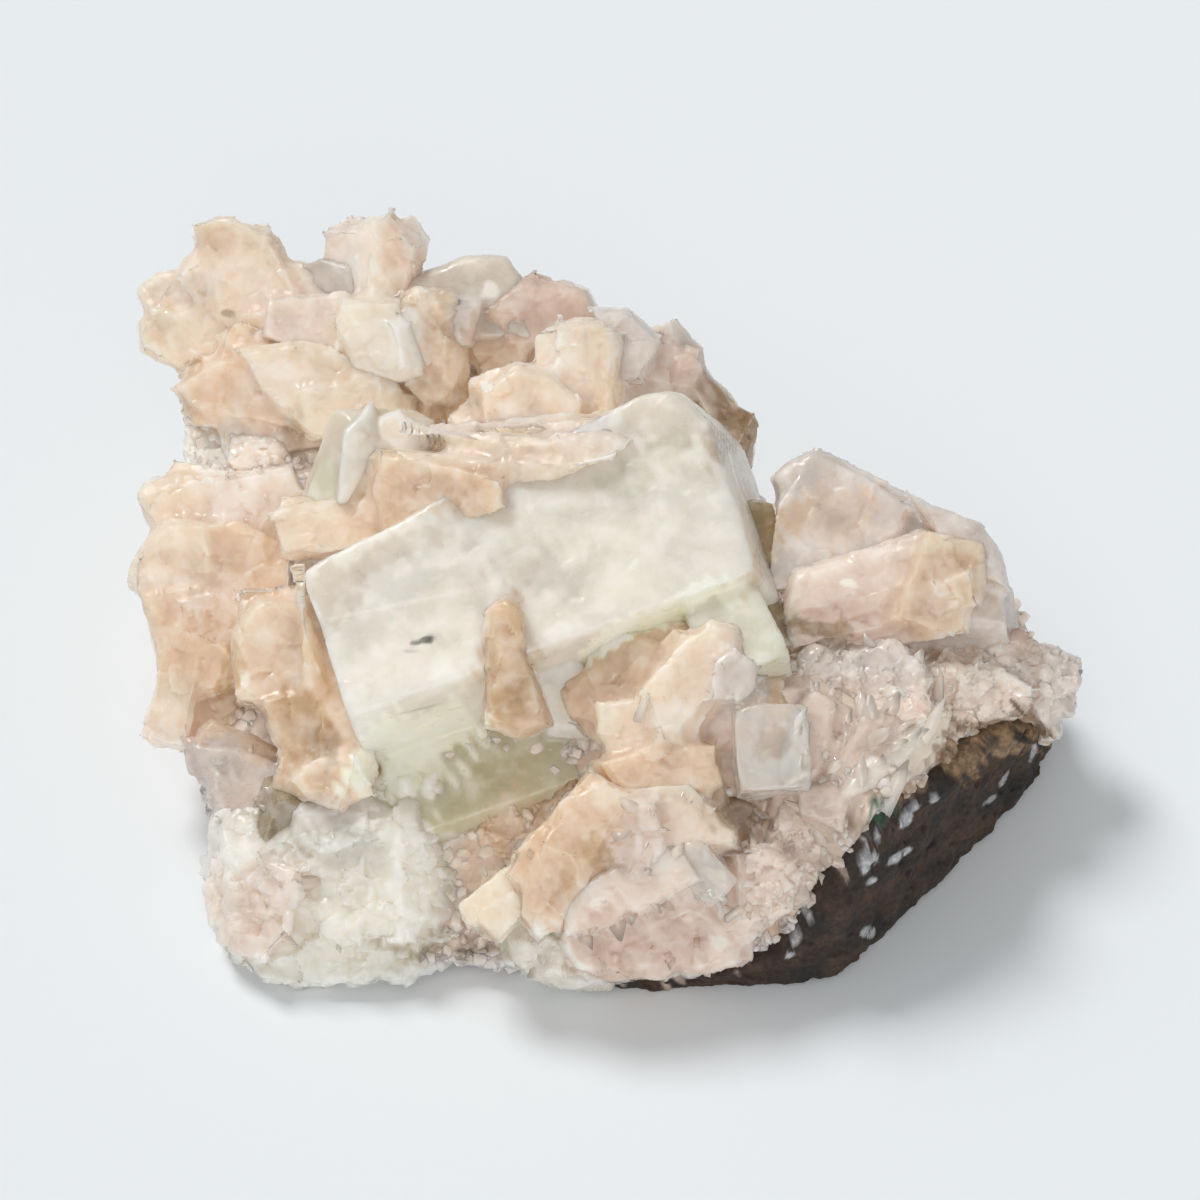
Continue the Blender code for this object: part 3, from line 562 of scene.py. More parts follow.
def block_form(crystals, grain=0.3, rounds=1, relief=0.06, step=0.05, lump=6.0, phase=1.0, node=None,
               fill=0.0, chip=0.03):
    """Blocky crystals as one surface. Each is uneven by relief, with growth steps of step and chips, narrow
    clefts between them are filled, and the colour is a cloudy blend of those near a point."""
    tree = solid_tree() if node in SLABS else None
    grown = [crystal(slab_planes(row, tree), row[1], sharpness=SLAB_POWER) for row in SLABS.get(node, ())]
    crystals = crystals + grown
    shells = [faceted(grown_by(row["planes"], fill), row["sharpness"]) for row in crystals]
    points, faces, normals = merged(shells, grain, rounds)
    points = points - normals * fill
    gaps = np.array([max_outside(points, row["planes"]) for row in crystals])
    weights = np.exp((gaps.min(axis=0) - gaps) / (BLEND if fill else 0.1))
    move = relief * (ripple(points, lump, phase) + 0.5 * ripple(points, lump * 0.3, phase + 1))
    move += step * 2 * terraces(points, lump * 0.8, 2.5, phase + 2)
    move += chips(points, 3.1, chip, phase + 3) + chips(points, 1.2, chip, phase + 4)
    tints = []
    for i, row in enumerate(crystals):
        share = np.clip(0.5 + 0.5 * ripple(points, row["size"], phase + i), 0, 1) * row["spread"]
        tints.append(mixed(colour(row["first"]), colour(row["second"]), share))
    tint = (np.array(tints) * weights[..., None]).sum(axis=0) / weights.sum(axis=0)[:, None]
    return points + normals * move[:, None], faces, tint


def max_outside(points, planes):
    """How far points lie outside the space within planes, below zero inside."""
    normals = np.array([normal for normal, _ in planes])
    return (points @ normals.T - np.array([distance for _, distance in planes])).max(axis=1)


# Small crystals, many at a time. Their measures are shares of a crystal's size.
SMALL_RADIUS = 0.55
SMALL_ROOT = 0.6
SMALL_LEAN = 0.35
THIN_LEAN = 0.3
THIN_UPRIGHT = 0.7
THIN_MEASURES = ((0.07, 0.18), (0.04, 0.1), (0.4, 0.85))


def small_crystals(points, normals, sizes, chance, colour_rows):
    """Six-sided prisms with a pointed end, one on each point: rings at the foot and the shoulder and a tip
    carried along the normal, leaning at random."""
    count = len(points)
    lean = unit(normals + chance.normal(size=(count, 3)) * SMALL_LEAN)
    side = unit(np.cross(lean, chance.normal(size=(count, 3))))
    other = np.cross(lean, side)
    turn = np.arange(6) * math.pi / 3
    flat = chance.uniform(0.45, 1.0, count)[:, None]
    radius = (sizes * SMALL_RADIUS)[:, None]
    ring = (side[:, None] * (np.cos(turn) * radius)[..., None]
            + other[:, None] * (np.sin(turn) * radius * flat)[..., None])
    tall = sizes[:, None, None] * chance.uniform(0.35, 0.75, count)[:, None, None]
    low = points[:, None] + ring - lean[:, None] * sizes[:, None, None] * SMALL_ROOT
    shoulder = points[:, None] + ring + lean[:, None] * tall * 0.55
    top = points[:, None] + ring[:, :1] * 0.25 + lean[:, None] * tall
    base = points[:, None] - lean[:, None] * sizes[:, None, None] * SMALL_ROOT
    solid = np.concatenate([low, shoulder, top, base], axis=1)
    i = np.arange(6)
    j = (i + 1) % 6
    walls = np.stack([i, j, j + 6, i + 6], axis=-1)
    roofs = np.stack([i + 6, j + 6, np.full(6, 12), np.full(6, 12)], axis=-1)
    floor = np.stack([j, i, np.full(6, 13), np.full(6, 13)], axis=-1)
    faces = (np.vstack([walls, roofs, floor])[None] + (np.arange(count) * 14)[:, None, None]).reshape(-1, 4)
    return solid.reshape(-1, 3), faces, np.repeat(colour_rows, 14, axis=0)


def shards(points, normals, sizes, chance, lead, tints):
    """Thin tabular crystals with a roof-shaped end, one on each point: an oblong carried along a way that
    leans from the normal towards lead, and a ridge over it."""
    count = len(points)
    along = unit(normals * THIN_UPRIGHT + lead + chance.normal(size=(count, 3)) * THIN_LEAN)
    out = unit(np.cross(along, chance.normal(size=(count, 3)) + np.cross(along, BACK) * 0.8))
    across = np.cross(out, along)
    wide, thick, tall = (sizes[:, None] * chance.uniform(low, high, (count, 1))
                         for low, high in THIN_MEASURES)
    x = np.array([-1, 1, 1, -1, -1, 1, 1, -1, -0.15, 0.3])
    y = np.array([-1, -1, 1, 1, -1, -1, 1, 1, 0, 0])
    z = np.array([-0.9, -0.9, -0.9, -0.9, 0.55, 0.5, 0.5, 0.55, 1, 0.9])
    z = z + chance.uniform(-0.08, 0.08, (count, 10))
    solid = (points[:, None] + across[:, None] * (wide * x)[..., None] + out[:, None] * (thick * y)[..., None]
             + along[:, None] * (tall * z)[..., None])
    faces = np.array([(0, 1, 5, 4), (1, 2, 6, 5), (2, 3, 7, 6), (3, 0, 4, 7), (4, 5, 9, 8), (6, 7, 8, 9),
                      (5, 6, 9, 9), (7, 4, 8, 8), (3, 2, 1, 0)])
    faces = (faces[None] + (np.arange(count) * 10)[:, None, None]).reshape(-1, 4)
    return solid.reshape(-1, 3), faces, np.repeat(tints, 10, axis=0)


# The basalt and the crust as polar surfaces

def along_line(line, shares):
    """Points at shares of the turn round a closed line, by their angle about the origin."""
    line = np.array(line, float)
    angles = np.unwrap(np.arctan2(line[:, 1], line[:, 0]))
    angles = np.append(angles, angles[0] + 2 * math.pi)
    rows = np.vstack([line, line[:1]])
    target = angles[0] + shares * 2 * math.pi
    return np.stack([np.interp(target, angles, rows[:, i]) for i in range(rows.shape[1])], axis=1)


def polar_faces(rows, columns):
    """Quads between rings, with a fan to the point above the last ring and to the one below the first."""
    index = np.arange(rows * columns).reshape(rows, columns)
    beside = np.roll(index, -1, axis=1)
    quads = np.stack([index[:-1], beside[:-1], beside[1:], index[1:]], axis=-1).reshape(-1, 4)
    top, low = np.full(columns, rows * columns), np.full(columns, rows * columns + 1)
    return np.vstack([quads, np.stack([index[-1], beside[-1], top, top], axis=-1),
                      np.stack([beside[0], index[0], low, low], axis=-1)])


def basalt_surface(columns=1000):
    """The basalt: its table line carried up a rough side to the rim and in over a plateau. The reach of a
    ring is the line's reach times a share, and the roughness is a ripple at three sizes."""
    line = along_line(BASALT_LINE, np.arange(columns) / columns)
    flat = line[:, :2]
    rim = line[:, 2:]
    away = unit(flat)
    wall = [(1.0, height) for height in np.linspace(0.06, 0.9, 80)]
    sides = [(0.985, 0), (0.994, 0.05), *wall, (0.99, 0.94), (0.965, 1)]
    rings = [np.hstack([flat * share, rim * height]) for share, height in sides]
    for share in np.linspace(0.9, 0.1, 12):
        rings.append(np.hstack([flat * share, rim + (BASALT_PLATEAU - rim) * (1 - share)]))
    grid = np.array(rings)
    rough = 0.45 * ripple(grid, 9, 5) + 0.25 * ripple(grid, 3.1, 6) + 0.12 * ripple(grid, 1.2, 7)
    pits = np.maximum(ripple(grid, 1.9, 8) - 0.62, 0) * -0.9
    move = (rough + pits)[..., None] * np.concatenate([away, np.full((columns, 1), 0.25)], axis=1)
    grid = grid + move
    grid[..., 2] = np.maximum(grid[..., 2], 0)
    grid[0, :, 2] = 0
    points = np.vstack([grid.reshape(-1, 3), (0, 0, BASALT_PLATEAU), (0, 0, 0)])
    return points, polar_faces(len(grid), columns)


def crust_surface(columns=360):
    """The crust of small crystals: from its edge it rises to the centre by 1 - share ** CRUST_SWELL, with
    lumps, and its skirt hangs over the basalt's side."""
    line = along_line(CRUST_EDGE, np.arange(columns) / columns)
    flat, edge, hangs = line[:, :2], line[:, 2:3], line[:, 3:4] > 0.5
    low = np.where(hangs, 1.0, 3.0)
    foot = np.where(hangs, 0.965, 0.80)
    rings = []
    for height in np.linspace(0, 0.94, SKIRT_RINGS):
        share = min(height / 0.75, 1) ** 0.6
        rings.append(np.hstack([flat * (foot + (1 - foot) * share), low + (edge - low) * height]))
    for share in np.concatenate([[0.99], np.linspace(0.97, 0.06, 40)]):
        rise = 1 - share ** CRUST_SWELL
        rings.append(np.hstack([flat * share, edge + (CRUST_CENTRE - edge) * rise]))
    grid = np.array(rings)
    lumps = 0.9 * ripple(grid, 11, 9) + 0.45 * ripple(grid, 3.6, 10) + 0.2 * ripple(grid, 1.4, 11)
    away = np.concatenate([unit(flat) * 0.6, np.full((columns, 1), 0.7)], axis=1)
    fade = np.clip(np.arange(len(grid)) / 5, 0, 1)[:, None, None]
    grid = grid + lumps[..., None] * away * fade * 0.7
    points = np.vstack([grid.reshape(-1, 3), (0, 0, CRUST_CENTRE + 0.4), (0, 0, 1.0)])
    return points, polar_faces(len(grid), columns), grid


def grid_normals(grid):
    """Normals of a polar grid, out of the crust."""
    round_way = np.roll(grid, -1, axis=1) - np.roll(grid, 1, axis=1)
    inward = np.gradient(grid, axis=0)
    return unit(np.cross(round_way, inward))


# Meshes and pieces

def make_mesh(name, points, faces, tint=None):
    """A mesh from points in millimetres, quads whose last two corners may be the same, and a colour each."""
    triangle = faces[:, 2] == faces[:, 3]
    loops = np.concatenate([faces[~triangle].reshape(-1), faces[triangle][:, :3].reshape(-1)])
    sizes = np.concatenate([np.full((~triangle).sum(), 4), np.full(triangle.sum(), 3)])
    mesh = bpy.data.meshes.new(name)
    mesh.vertices.add(len(points))
    mesh.loops.add(len(loops))
    mesh.polygons.add(len(sizes))
    mesh.vertices.foreach_set("co", (points * MM).astype(np.float32).reshape(-1))
    mesh.loops.foreach_set("vertex_index", loops.astype(np.int32))
    mesh.polygons.foreach_set("loop_start", np.concatenate([[0], np.cumsum(sizes)[:-1]]).astype(np.int32))
    mesh.update(calc_edges=True)
    mesh.validate()
    if tint is not None:
        attribute = mesh.attributes.new("tint", "FLOAT_COLOR", "POINT")
        rows = np.concatenate([np.clip(tint, 0, 1), np.ones((len(tint), 1))], axis=1)
        attribute.data.foreach_set("color", rows.astype(np.float32).reshape(-1))
    return mesh


def read_mesh(mesh):
    """Points in millimetres, quads and normals of a mesh whose faces have three or four corners."""
    points = np.empty(len(mesh.vertices) * 3, np.float32)
    normals = np.empty(len(mesh.vertices) * 3, np.float32)
    mesh.vertices.foreach_get("co", points)
    mesh.vertex_normals.foreach_get("vector", normals)
    corners = np.empty(len(mesh.loops), np.int32)
    starts = np.empty(len(mesh.polygons), np.int32)
    totals = np.empty(len(mesh.polygons), np.int32)
    mesh.loops.foreach_get("vertex_index", corners)
    mesh.polygons.foreach_get("loop_start", starts)
    mesh.polygons.foreach_get("loop_total", totals)
    places = starts[:, None] + np.minimum(np.arange(4), totals[:, None] - 1)
    return points.reshape(-1, 3).astype(float) / MM, corners[places], normals.reshape(-1, 3).astype(float)


def merged(shells, grain, rounds):
    """One outer surface for shells that pass through each other, on a grid of grain millimetres, eased by
    rounds of smoothing."""
    points, faces = joined(shells)
    rough = make_mesh("shell", points, faces)
    body = bpy.data.objects.new("shell", rough)
    bpy.context.scene.collection.objects.link(body)
    union = body.modifiers.new("union", "REMESH")
    union.mode = "VOXEL"
    union.voxel_size = grain * MM
    ease = body.modifiers.new("ease", "SMOOTH")
    ease.factor = 0.5
    ease.iterations = rounds
    graph = bpy.context.evaluated_depsgraph_get()
    whole = bpy.data.meshes.new_from_object(body.evaluated_get(graph))
    result = read_mesh(whole)
    bpy.data.objects.remove(body)
    bpy.data.meshes.remove(rough)
    bpy.data.meshes.remove(whole)
    return result


def joined(parts):
    """Several (points, faces, ...) as one, row by row."""
    count = np.cumsum([0] + [len(part[0]) for part in parts])
    faces = np.vstack([part[1] + start for part, start in zip(parts, count)])
    return np.vstack([part[0] for part in parts]), faces, *(np.vstack(rest) for rest in list(zip(*parts))[2:])


def add_piece(name, parts, finish, node, smooth=True, sharp=50):
    points, faces, tint = joined(parts)
    mesh = make_mesh(name, np.clip(points, CAD_LOW + MESH_GAP, CAD_HIGH - MESH_GAP), faces, tint)
    mesh.materials.append(finish)
    piece = bpy.data.objects.new(name, mesh)
    bpy.context.scene.collection.objects.link(piece)
    if smooth:
        mesh.shade_smooth()
        mesh.set_sharp_from_angle(angle=math.radians(sharp))
    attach(piece, "root")
    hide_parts(node)
    return piece


FRONT_CELL = 3.0
FRONT_DEPTH = 1.5
SEEN_DEPTH = 0.6
SEEN_FACING = 0.15


def front_of(pieces):
    """How near the camera the foremost piece lies, for each cell of the photograph, and each piece's
    points."""
    count = int(PHOTO_PIXELS / FRONT_CELL)
    front = np.full((count, count), -1e3)
    places = []
    for piece in pieces:
        rows = np.empty(len(piece.data.vertices) * 3, np.float32)
        piece.data.vertices.foreach_get("co", rows)
        u, v, near = on_photo(rows.reshape(-1, 3).astype(float) / MM)
        row = np.clip((v / FRONT_CELL).astype(int), 0, count - 1)
        column = np.clip((u / FRONT_CELL).astype(int), 0, count - 1)
        np.maximum.at(front, (row, column), near)
        places.append((u, v, near, row, column))
    return front, places


def read_tint(mesh):
    tint = np.empty(len(mesh.vertices) * 4, np.float32)
    mesh.attributes["tint"].data.foreach_get("color", tint)
    return tint.reshape(-1, 4)


def tinted_pieces():
    return [piece for piece in bpy.data.objects
            if piece.type == "MESH" and "tint" in piece.data.attributes]


def seen_points(pieces):
    """The points on the foremost pieces, with normals, tints and columns and rows in the photograph."""
    front, places = front_of(pieces)
    kept = []
    for piece, (u, v, near, row, column) in zip(pieces, places):
        points, _, normals = read_mesh(piece.data)
        shown = (front[row, column] - near < SEEN_DEPTH) & (normals @ BACK > SEEN_FACING)
        kept.append(np.column_stack([points, normals, read_tint(piece.data)[:, :3], u, v])[shown])
    kept = np.vstack(kept)
    return kept[:, :3], kept[:, 3:6], kept[:, 6:9], kept[:, 9], kept[:, 10]


def paint_marks(pieces):
    """Blends each mark's colour into the tint of the points it covers: full within half its size, then
    falling off to its rim, and only on what lies within FRONT_DEPTH of the foremost piece."""
    front, places = front_of(pieces)
    for piece, (u, v, near, row, column) in zip(pieces, places):
        shown = np.clip(1.5 - (front[row, column] - near) / FRONT_DEPTH, 0, 1)
        tint = read_tint(piece.data)
        wobble = 1 + 0.22 * np.sin(u * 0.11 + v * 0.07) + 0.16 * np.sin(u * 0.31 - v * 0.23)
        for middle, level, wide, tall, turn, name, strength in itertools.chain(*MARKS.values()):
            reach = 1.6 * max(wide, tall)
            some = np.nonzero((np.abs(u - middle) < reach) & (np.abs(v - level) < reach))[0]
            if not len(some):
                continue
            angle = math.radians(turn)
            x = (u[some] - middle) * math.cos(angle) - (v[some] - level) * math.sin(angle)
            y = (u[some] - middle) * math.sin(angle) + (v[some] - level) * math.cos(angle)
            away = np.hypot(x / wide, y / tall) * wobble[some]
            share = np.clip((1.15 - away) / (0.95 - 0.7 * strength), 0, 1)
            share = share * share * (3 - 2 * share) * strength * shown[some]
            tint[some, :3] = mixed(tint[some, :3], colour(name), share)
        piece.data.attributes["tint"].data.foreach_set("color", tint.reshape(-1))


def plain(part, name, low=None, spread=0.0, size=6.0, phase=1.0):
    """A (points, faces) part with its colour: one colour, or a blend of two by a ripple."""
    points, faces = part
    share = np.clip(0.5 + 0.5 * ripple(points, size, phase), 0, 1) * spread
    return points, faces, mixed(colour(name), colour(low or name), share)


# Minerals. The marks in a finish rise by this much, in metres.
FINISH_RELIEF = 0.0006


def link(tree, source, output, target, socket):
    tree.links.new(source.outputs[output], target.inputs[socket])


def noise_node(tree, coords, scale, detail=3.0, distortion=0.0):
    node = tree.nodes.new("ShaderNodeTexNoise")
    node.inputs["Scale"].default_value = scale
    node.inputs["Detail"].default_value = detail
    node.inputs["Distortion"].default_value = distortion
    link(tree, coords, "Object", node, "Vector")
    return node


def ramp_node(tree, source, output, stops):
    node = tree.nodes.new("ShaderNodeValToRGB")
    elements = node.color_ramp.elements
    while len(elements) < len(stops):
        elements.new(0.5)
    for element, (position, value) in zip(elements, stops):
        element.position = position
        element.color = (*value, 1) if hasattr(value, "__len__") else (value, value, value, 1)
    link(tree, source, output, node, "Fac")
    return node


def multiply_node(tree, first, first_output, second, second_output):
    node = tree.nodes.new("ShaderNodeMix")
    node.data_type = "RGBA"
    node.blend_type = "MULTIPLY"
    node.inputs["Factor"].default_value = 1.0
    link(tree, first, first_output, node, "A")
    link(tree, second, second_output, node, "B")
    return node


def bump_node(tree, source, output, strength, distance):
    node = tree.nodes.new("ShaderNodeBump")
    node.inputs["Strength"].default_value = strength
    node.inputs["Distance"].default_value = distance
    link(tree, source, output, node, "Height")
    return node


def mineral(name, roughness, scatter, scatter_mm, clear=0.0, ior=1.53, bump=0.25, grain=900.0, veil=0.15,
            absorb=None, facet=0.0, frost=0.35):
    """A crystal's finish: the tint it was given, clouded by veil and covered in places by frost, light
    scattered to a depth under the face, and fine growth marks in the bump."""
    made = bpy.data.materials.new(name)
    made.use_nodes = True
    tree = made.node_tree
    shader = tree.nodes["Principled BSDF"]
    coords = tree.nodes.new("ShaderNodeTexCoord")
    tint = tree.nodes.new("ShaderNodeAttribute")
    tint.attribute_name = "tint"
    clouds = ramp_node(tree, noise_node(tree, coords, 190, 4, 0.4), "Fac",
                       [(0.25, 1 - veil), (0.5, 1.0), (0.75, 1 + veil * 0.3)])
    first = multiply_node(tree, tint, "Color", clouds, "Color")
    frosted = tree.nodes.new("ShaderNodeMix")
    frosted.data_type = "RGBA"
    frosted.inputs["B"].default_value = (0.96, 0.92, 0.86, 1)
    cover = noise_node(tree, coords, 380, 3)
    drift = ramp_node(tree, cover, "Fac", [(0.48, 0.0), (0.72, frost)])
    link(tree, drift, "Color", frosted, "Factor")
    link(tree, first, "Result", frosted, "A")
    link(tree, frosted, "Result", shader, "Base Color")
    rough = ramp_node(tree, cover, "Fac",
                      [(0.35, max(0.03, roughness - 0.12)), (0.6, min(1, roughness + 0.15))])
    link(tree, rough, "Color", shader, "Roughness")
    marks = noise_node(tree, coords, grain * 0.3, 4)
    last = bump_node(tree, marks, "Fac", bump, FINISH_RELIEF)
    if facet:
        cells = tree.nodes.new("ShaderNodeTexVoronoi")
        cells.feature = "F1"
        cells.inputs["Scale"].default_value = facet
        link(tree, coords, "Object", cells, "Vector")
        flats = bump_node(tree, cells, "Distance", 0.5, FINISH_RELIEF)
        link(tree, last, "Normal", flats, "Normal")
        last = flats
    link(tree, last, "Normal", shader, "Normal")
    shader.inputs["Subsurface Weight"].default_value = scatter
    shader.inputs["Subsurface Radius"].default_value = (1.0, 0.85, 0.7)
    shader.inputs["Subsurface Scale"].default_value = scatter_mm * MM
    shader.inputs["IOR"].default_value = ior
    shader.inputs["Transmission Weight"].default_value = clear
    if absorb:
        volume = tree.nodes.new("ShaderNodeVolumeAbsorption")
        volume.inputs["Color"].default_value = (*absorb[0], 1)
        volume.inputs["Density"].default_value = absorb[1]
        output = next(node for node in tree.nodes if node.type == "OUTPUT_MATERIAL")
        link(tree, volume, "Volume", output, "Volume")
    return made


def basalt_finish():
    """Near-black rock: dark grains, a dull face and small holes, with the tint for its weathered rim."""
    made = bpy.data.materials.new("basalt")
    made.use_nodes = True
    tree = made.node_tree
    shader = tree.nodes["Principled BSDF"]
    coords = tree.nodes.new("ShaderNodeTexCoord")
    tint = tree.nodes.new("ShaderNodeAttribute")
    tint.attribute_name = "tint"
    grains = ramp_node(tree, noise_node(tree, coords, 1500, 5), "Fac",
                       [(0.35, 0.6), (0.55, 1.0), (0.75, 1.5)])
    first = multiply_node(tree, tint, "Color", grains, "Color")
    link(tree, first, "Result", shader, "Base Color")
    shader.inputs["Roughness"].default_value = 0.82
    bump = bump_node(tree, noise_node(tree, coords, 900, 6, 0.5), "Fac", 0.7, 0.0005)
    link(tree, bump, "Normal", shader, "Normal")
    return made


# The crystals of each piece

def main_block():
    main = planes_through([
        (BLOCK_FACE, (-27.2, -24.2, 30)),
        (BLOCK_FRONT, (-27.2, -24.2, 30)),
        ((-0.477, 0.84, 0.26), (9.8, 13.5, 43.5)),
        ((0, 0.75, 0.66), (6, 10.7, 43.35)),
        ((-0.95, -0.24, -0.20), (-29, -17, 31)),
        ((0.93, 0.18, 0.33), (15.5, -4, 38)),
        ((0.7, 0.5, 0.5), (11.6, 8, 42)),
        (-np.array(BLOCK_FACE), np.array((-27.2, -24.2, 30)) - BLOCK_DEPTH * np.array(BLOCK_FACE)),
    ])
    step = block((15.2, -11.8, 26), (0.9, 0.36, 0.2), BLOCK_FACE, (8.5, 9.5, 15), corner=0.1)
    grown_in = planes_through([
        ((0.02, -0.42, 0.91), (-12, -22.5, 15.6)),
        ((0.30, -0.94, 0.10), (-15.5, -25.8, 13)),
        ((0.25, -0.70, -0.66), (-15, -24.7, 9.5)),
        ((-0.93, -0.30, 0.1), (-22.5, -25, 14)),
        ((0.93, 0.30, 0.1), (-2.5, -20, 17)),
        ((0, 0.9, 0.3), (-12, -12, 16)),
        ((0, 0, -1), (-12, -20, 8)),
    ])
    return block_form([crystal(main, "milk", "grey_milk", 0.5, 14), crystal(step, "milk_green", "milk"),
                       crystal(grown_in, "green", "milk_green", 0.4, 8)],
                      grain=0.34, relief=0.05, step=0.04, lump=9, node="apophyllite_block")


def corner_block():
    body = planes_through([
        ((-0.05, -0.74, 0.67), (-30, -32, 9.2)),
        ((0.62, -0.62, 0.48), (-19.7, -31.6, 11)),
        ((-0.96, -0.22, 0.18), (-41.2, -30, 6)),
        ((-0.6, -0.75, 0.3), (-38.5, -35.2, 4)),
        ((0, -0.96, -0.28), (-30, -38.6, 2.5)),
        ((0.5, -0.86, -0.1), (-19, -37.3, 3)),
        ((0.94, 0.1, 0.32), (-16.3, -31, 7)),
        ((-0.2, 0.15, 1), (-27, -27, 14.8)),
        ((0, 1, 0), (-30, -22, 10)),
        ((0, 0, -1), (-30, -30, 1.2)),
    ])
    side = block((-37.6, -28.5, 6.5), (0.3, 0.4, 0.8), (-0.7, -0.7, 0.2), (10, 8, 7), corner=0.2)
    return block_form([crystal(body, "milk", "grey_milk", 0.8),
                       crystal(side, "pink_white", "grey_milk", 0.6)],
                      relief=0.1, step=0.12, lump=4.5, phase=6, node="apophyllite_corner", fill=0.4,
                      chip=0.26)


def wedge():
    tablet = blade((-37.2, -27.2, 6), (-32.8, -20.8, 15), 5.6, 6.5, (0.35, -0.7, 0.62), 30)
    return block_form([crystal(tablet, "olive", "grey", 0.4, 4)], 0.25, phase=8)


def spike():
    return block_form([
        crystal(blade((-30.5, 6.5, 23), (-25.2, 13.8, 37), 6, 5.5, (-0.75, -0.55, 0.35), 30), "grey",
                "green"),
        crystal(blade((-25, 6, 24), (-24, 12.5, 35.5), 5, 5, (0.3, -0.85, 0.4), 30), "grey_milk", "ivory"),
        crystal(blade((-27, 12.5, 28), (-18.8, 14.2, 34.3), 5, 5, (0, -0.6, 0.8), 35), "cream", "white"),
    ], 0.25, phase=9, node="apophyllite_spike")


def back_crystal():
    return block_form([crystal(planes_through([
        ((0, -0.45, 0.89), (-14, 33, 35.3)),
        ((-0.35, 0.62, 0.7), (-18, 36.5, 35)),
        ((0.1, 0.8, 0.6), (-13, 37.8, 34)),
        ((0.85, 0.15, 0.45), (-9.3, 36, 33.5)),
        ((-0.9, 0.1, 0.3), (-22.8, 34, 32)),
        ((0, -1, -0.1), (-15, 28.5, 30)),
        ((0, 0, -1), (-15, 33, 24)),
        ((0, 1, -0.1), (-15, 38.3, 30)),
    ]), "grey", "lilac", 0.6)], phase=12, node="apophyllite_back")


def smoky():
    prism = block((-31.5, 36.2, 30), (0.85, -0.1, 0.45), (0, -0.5, 0.85), (13, 7, 9), 0.18)
    return block_form([crystal(prism, "smoke", "lilac", 0.7)], phase=13)


def cube():
    prism = block((18.3, -24.2, 24.3), (0.99, 0.1, 0), (0.05, -0.52, 0.85), (7.8, 9.2, 9), 0.12)
    return block_form([crystal(prism, "clear")], 0.22, phase=14)


def foot_crystal():
    return block_form([crystal(planes_through([
        ((-0.1, -0.70, 0.70), (-6, -36, 7.5)),
        ((-0.75, -0.5, 0.4), (-11, -36, 5)),
        ((-0.55, -0.6, -0.58), (-10, -36.5, 3.5)),
        ((0.1, -0.97, 0.2), (-3, -38.7, 2.5)),
        ((0.85, -0.4, 0.3), (1.5, -37, 3)),
        ((0, 1, 0), (-5, -30, 5)),
        ((0, 0.2, 1), (-5, -33, 10)),
        ((0, 0, -1), (-5, -35, 0.8)),
        ((-1, 0, 0), (-12.4, -35, 5)),
    ]), "milk_green", "grey_milk", 0.7, 4)], relief=0.15, step=0.12, lump=4, phase=15,
                      node="apophyllite_foot", chip=0.1)


def small_clear():
    prism = block((11.2, -34, 16.2), (0.6, -0.5, -0.4), (-0.1, -0.7, 0.7), (7, 4.4, 5), 0.2)
    return block_form([crystal(prism, "clear", "white", 0.4)], 0.22, phase=16)


def grey_block():
    return block_form([crystal(planes_through([
        ((0.15, -0.38, 0.91), (24.7, 11, 33)),
        ((0.36, 0.93, -0.05), (33.4, 7.7, 30)),
        ((-0.72, 0.25, 0.64), (21.2, 9, 31.4)),
        ((-0.98, 0.1, 0.1), (19.2, 6, 27)),
        ((0.96, -0.05, 0.27), (44.3, 0, 23.5)),
        ((0.8, 0.15, 0.58), (43, 3.6, 27)),
        ((0, -0.93, 0.36), (30, -3.6, 27)),
        ((0, -1, -0.2), (32, -5.5, 22)),
        ((0, 0, -1), (31, 2, 13)),
    ]), "lilac", "smoke", 0.4, 8)], relief=0.1, step=0.08, phase=17, node="grey_crystal",
                      fill=0.4, chip=0.06)


def olive_blade():
    tablet = blade((19.6, -9.5, 22), (16, 8.3, 27.5), 3.4, 7, (0.4, -0.5, 0.75), 30)
    return block_form([crystal(tablet, "olive", "golden", 0.5)], phase=18)


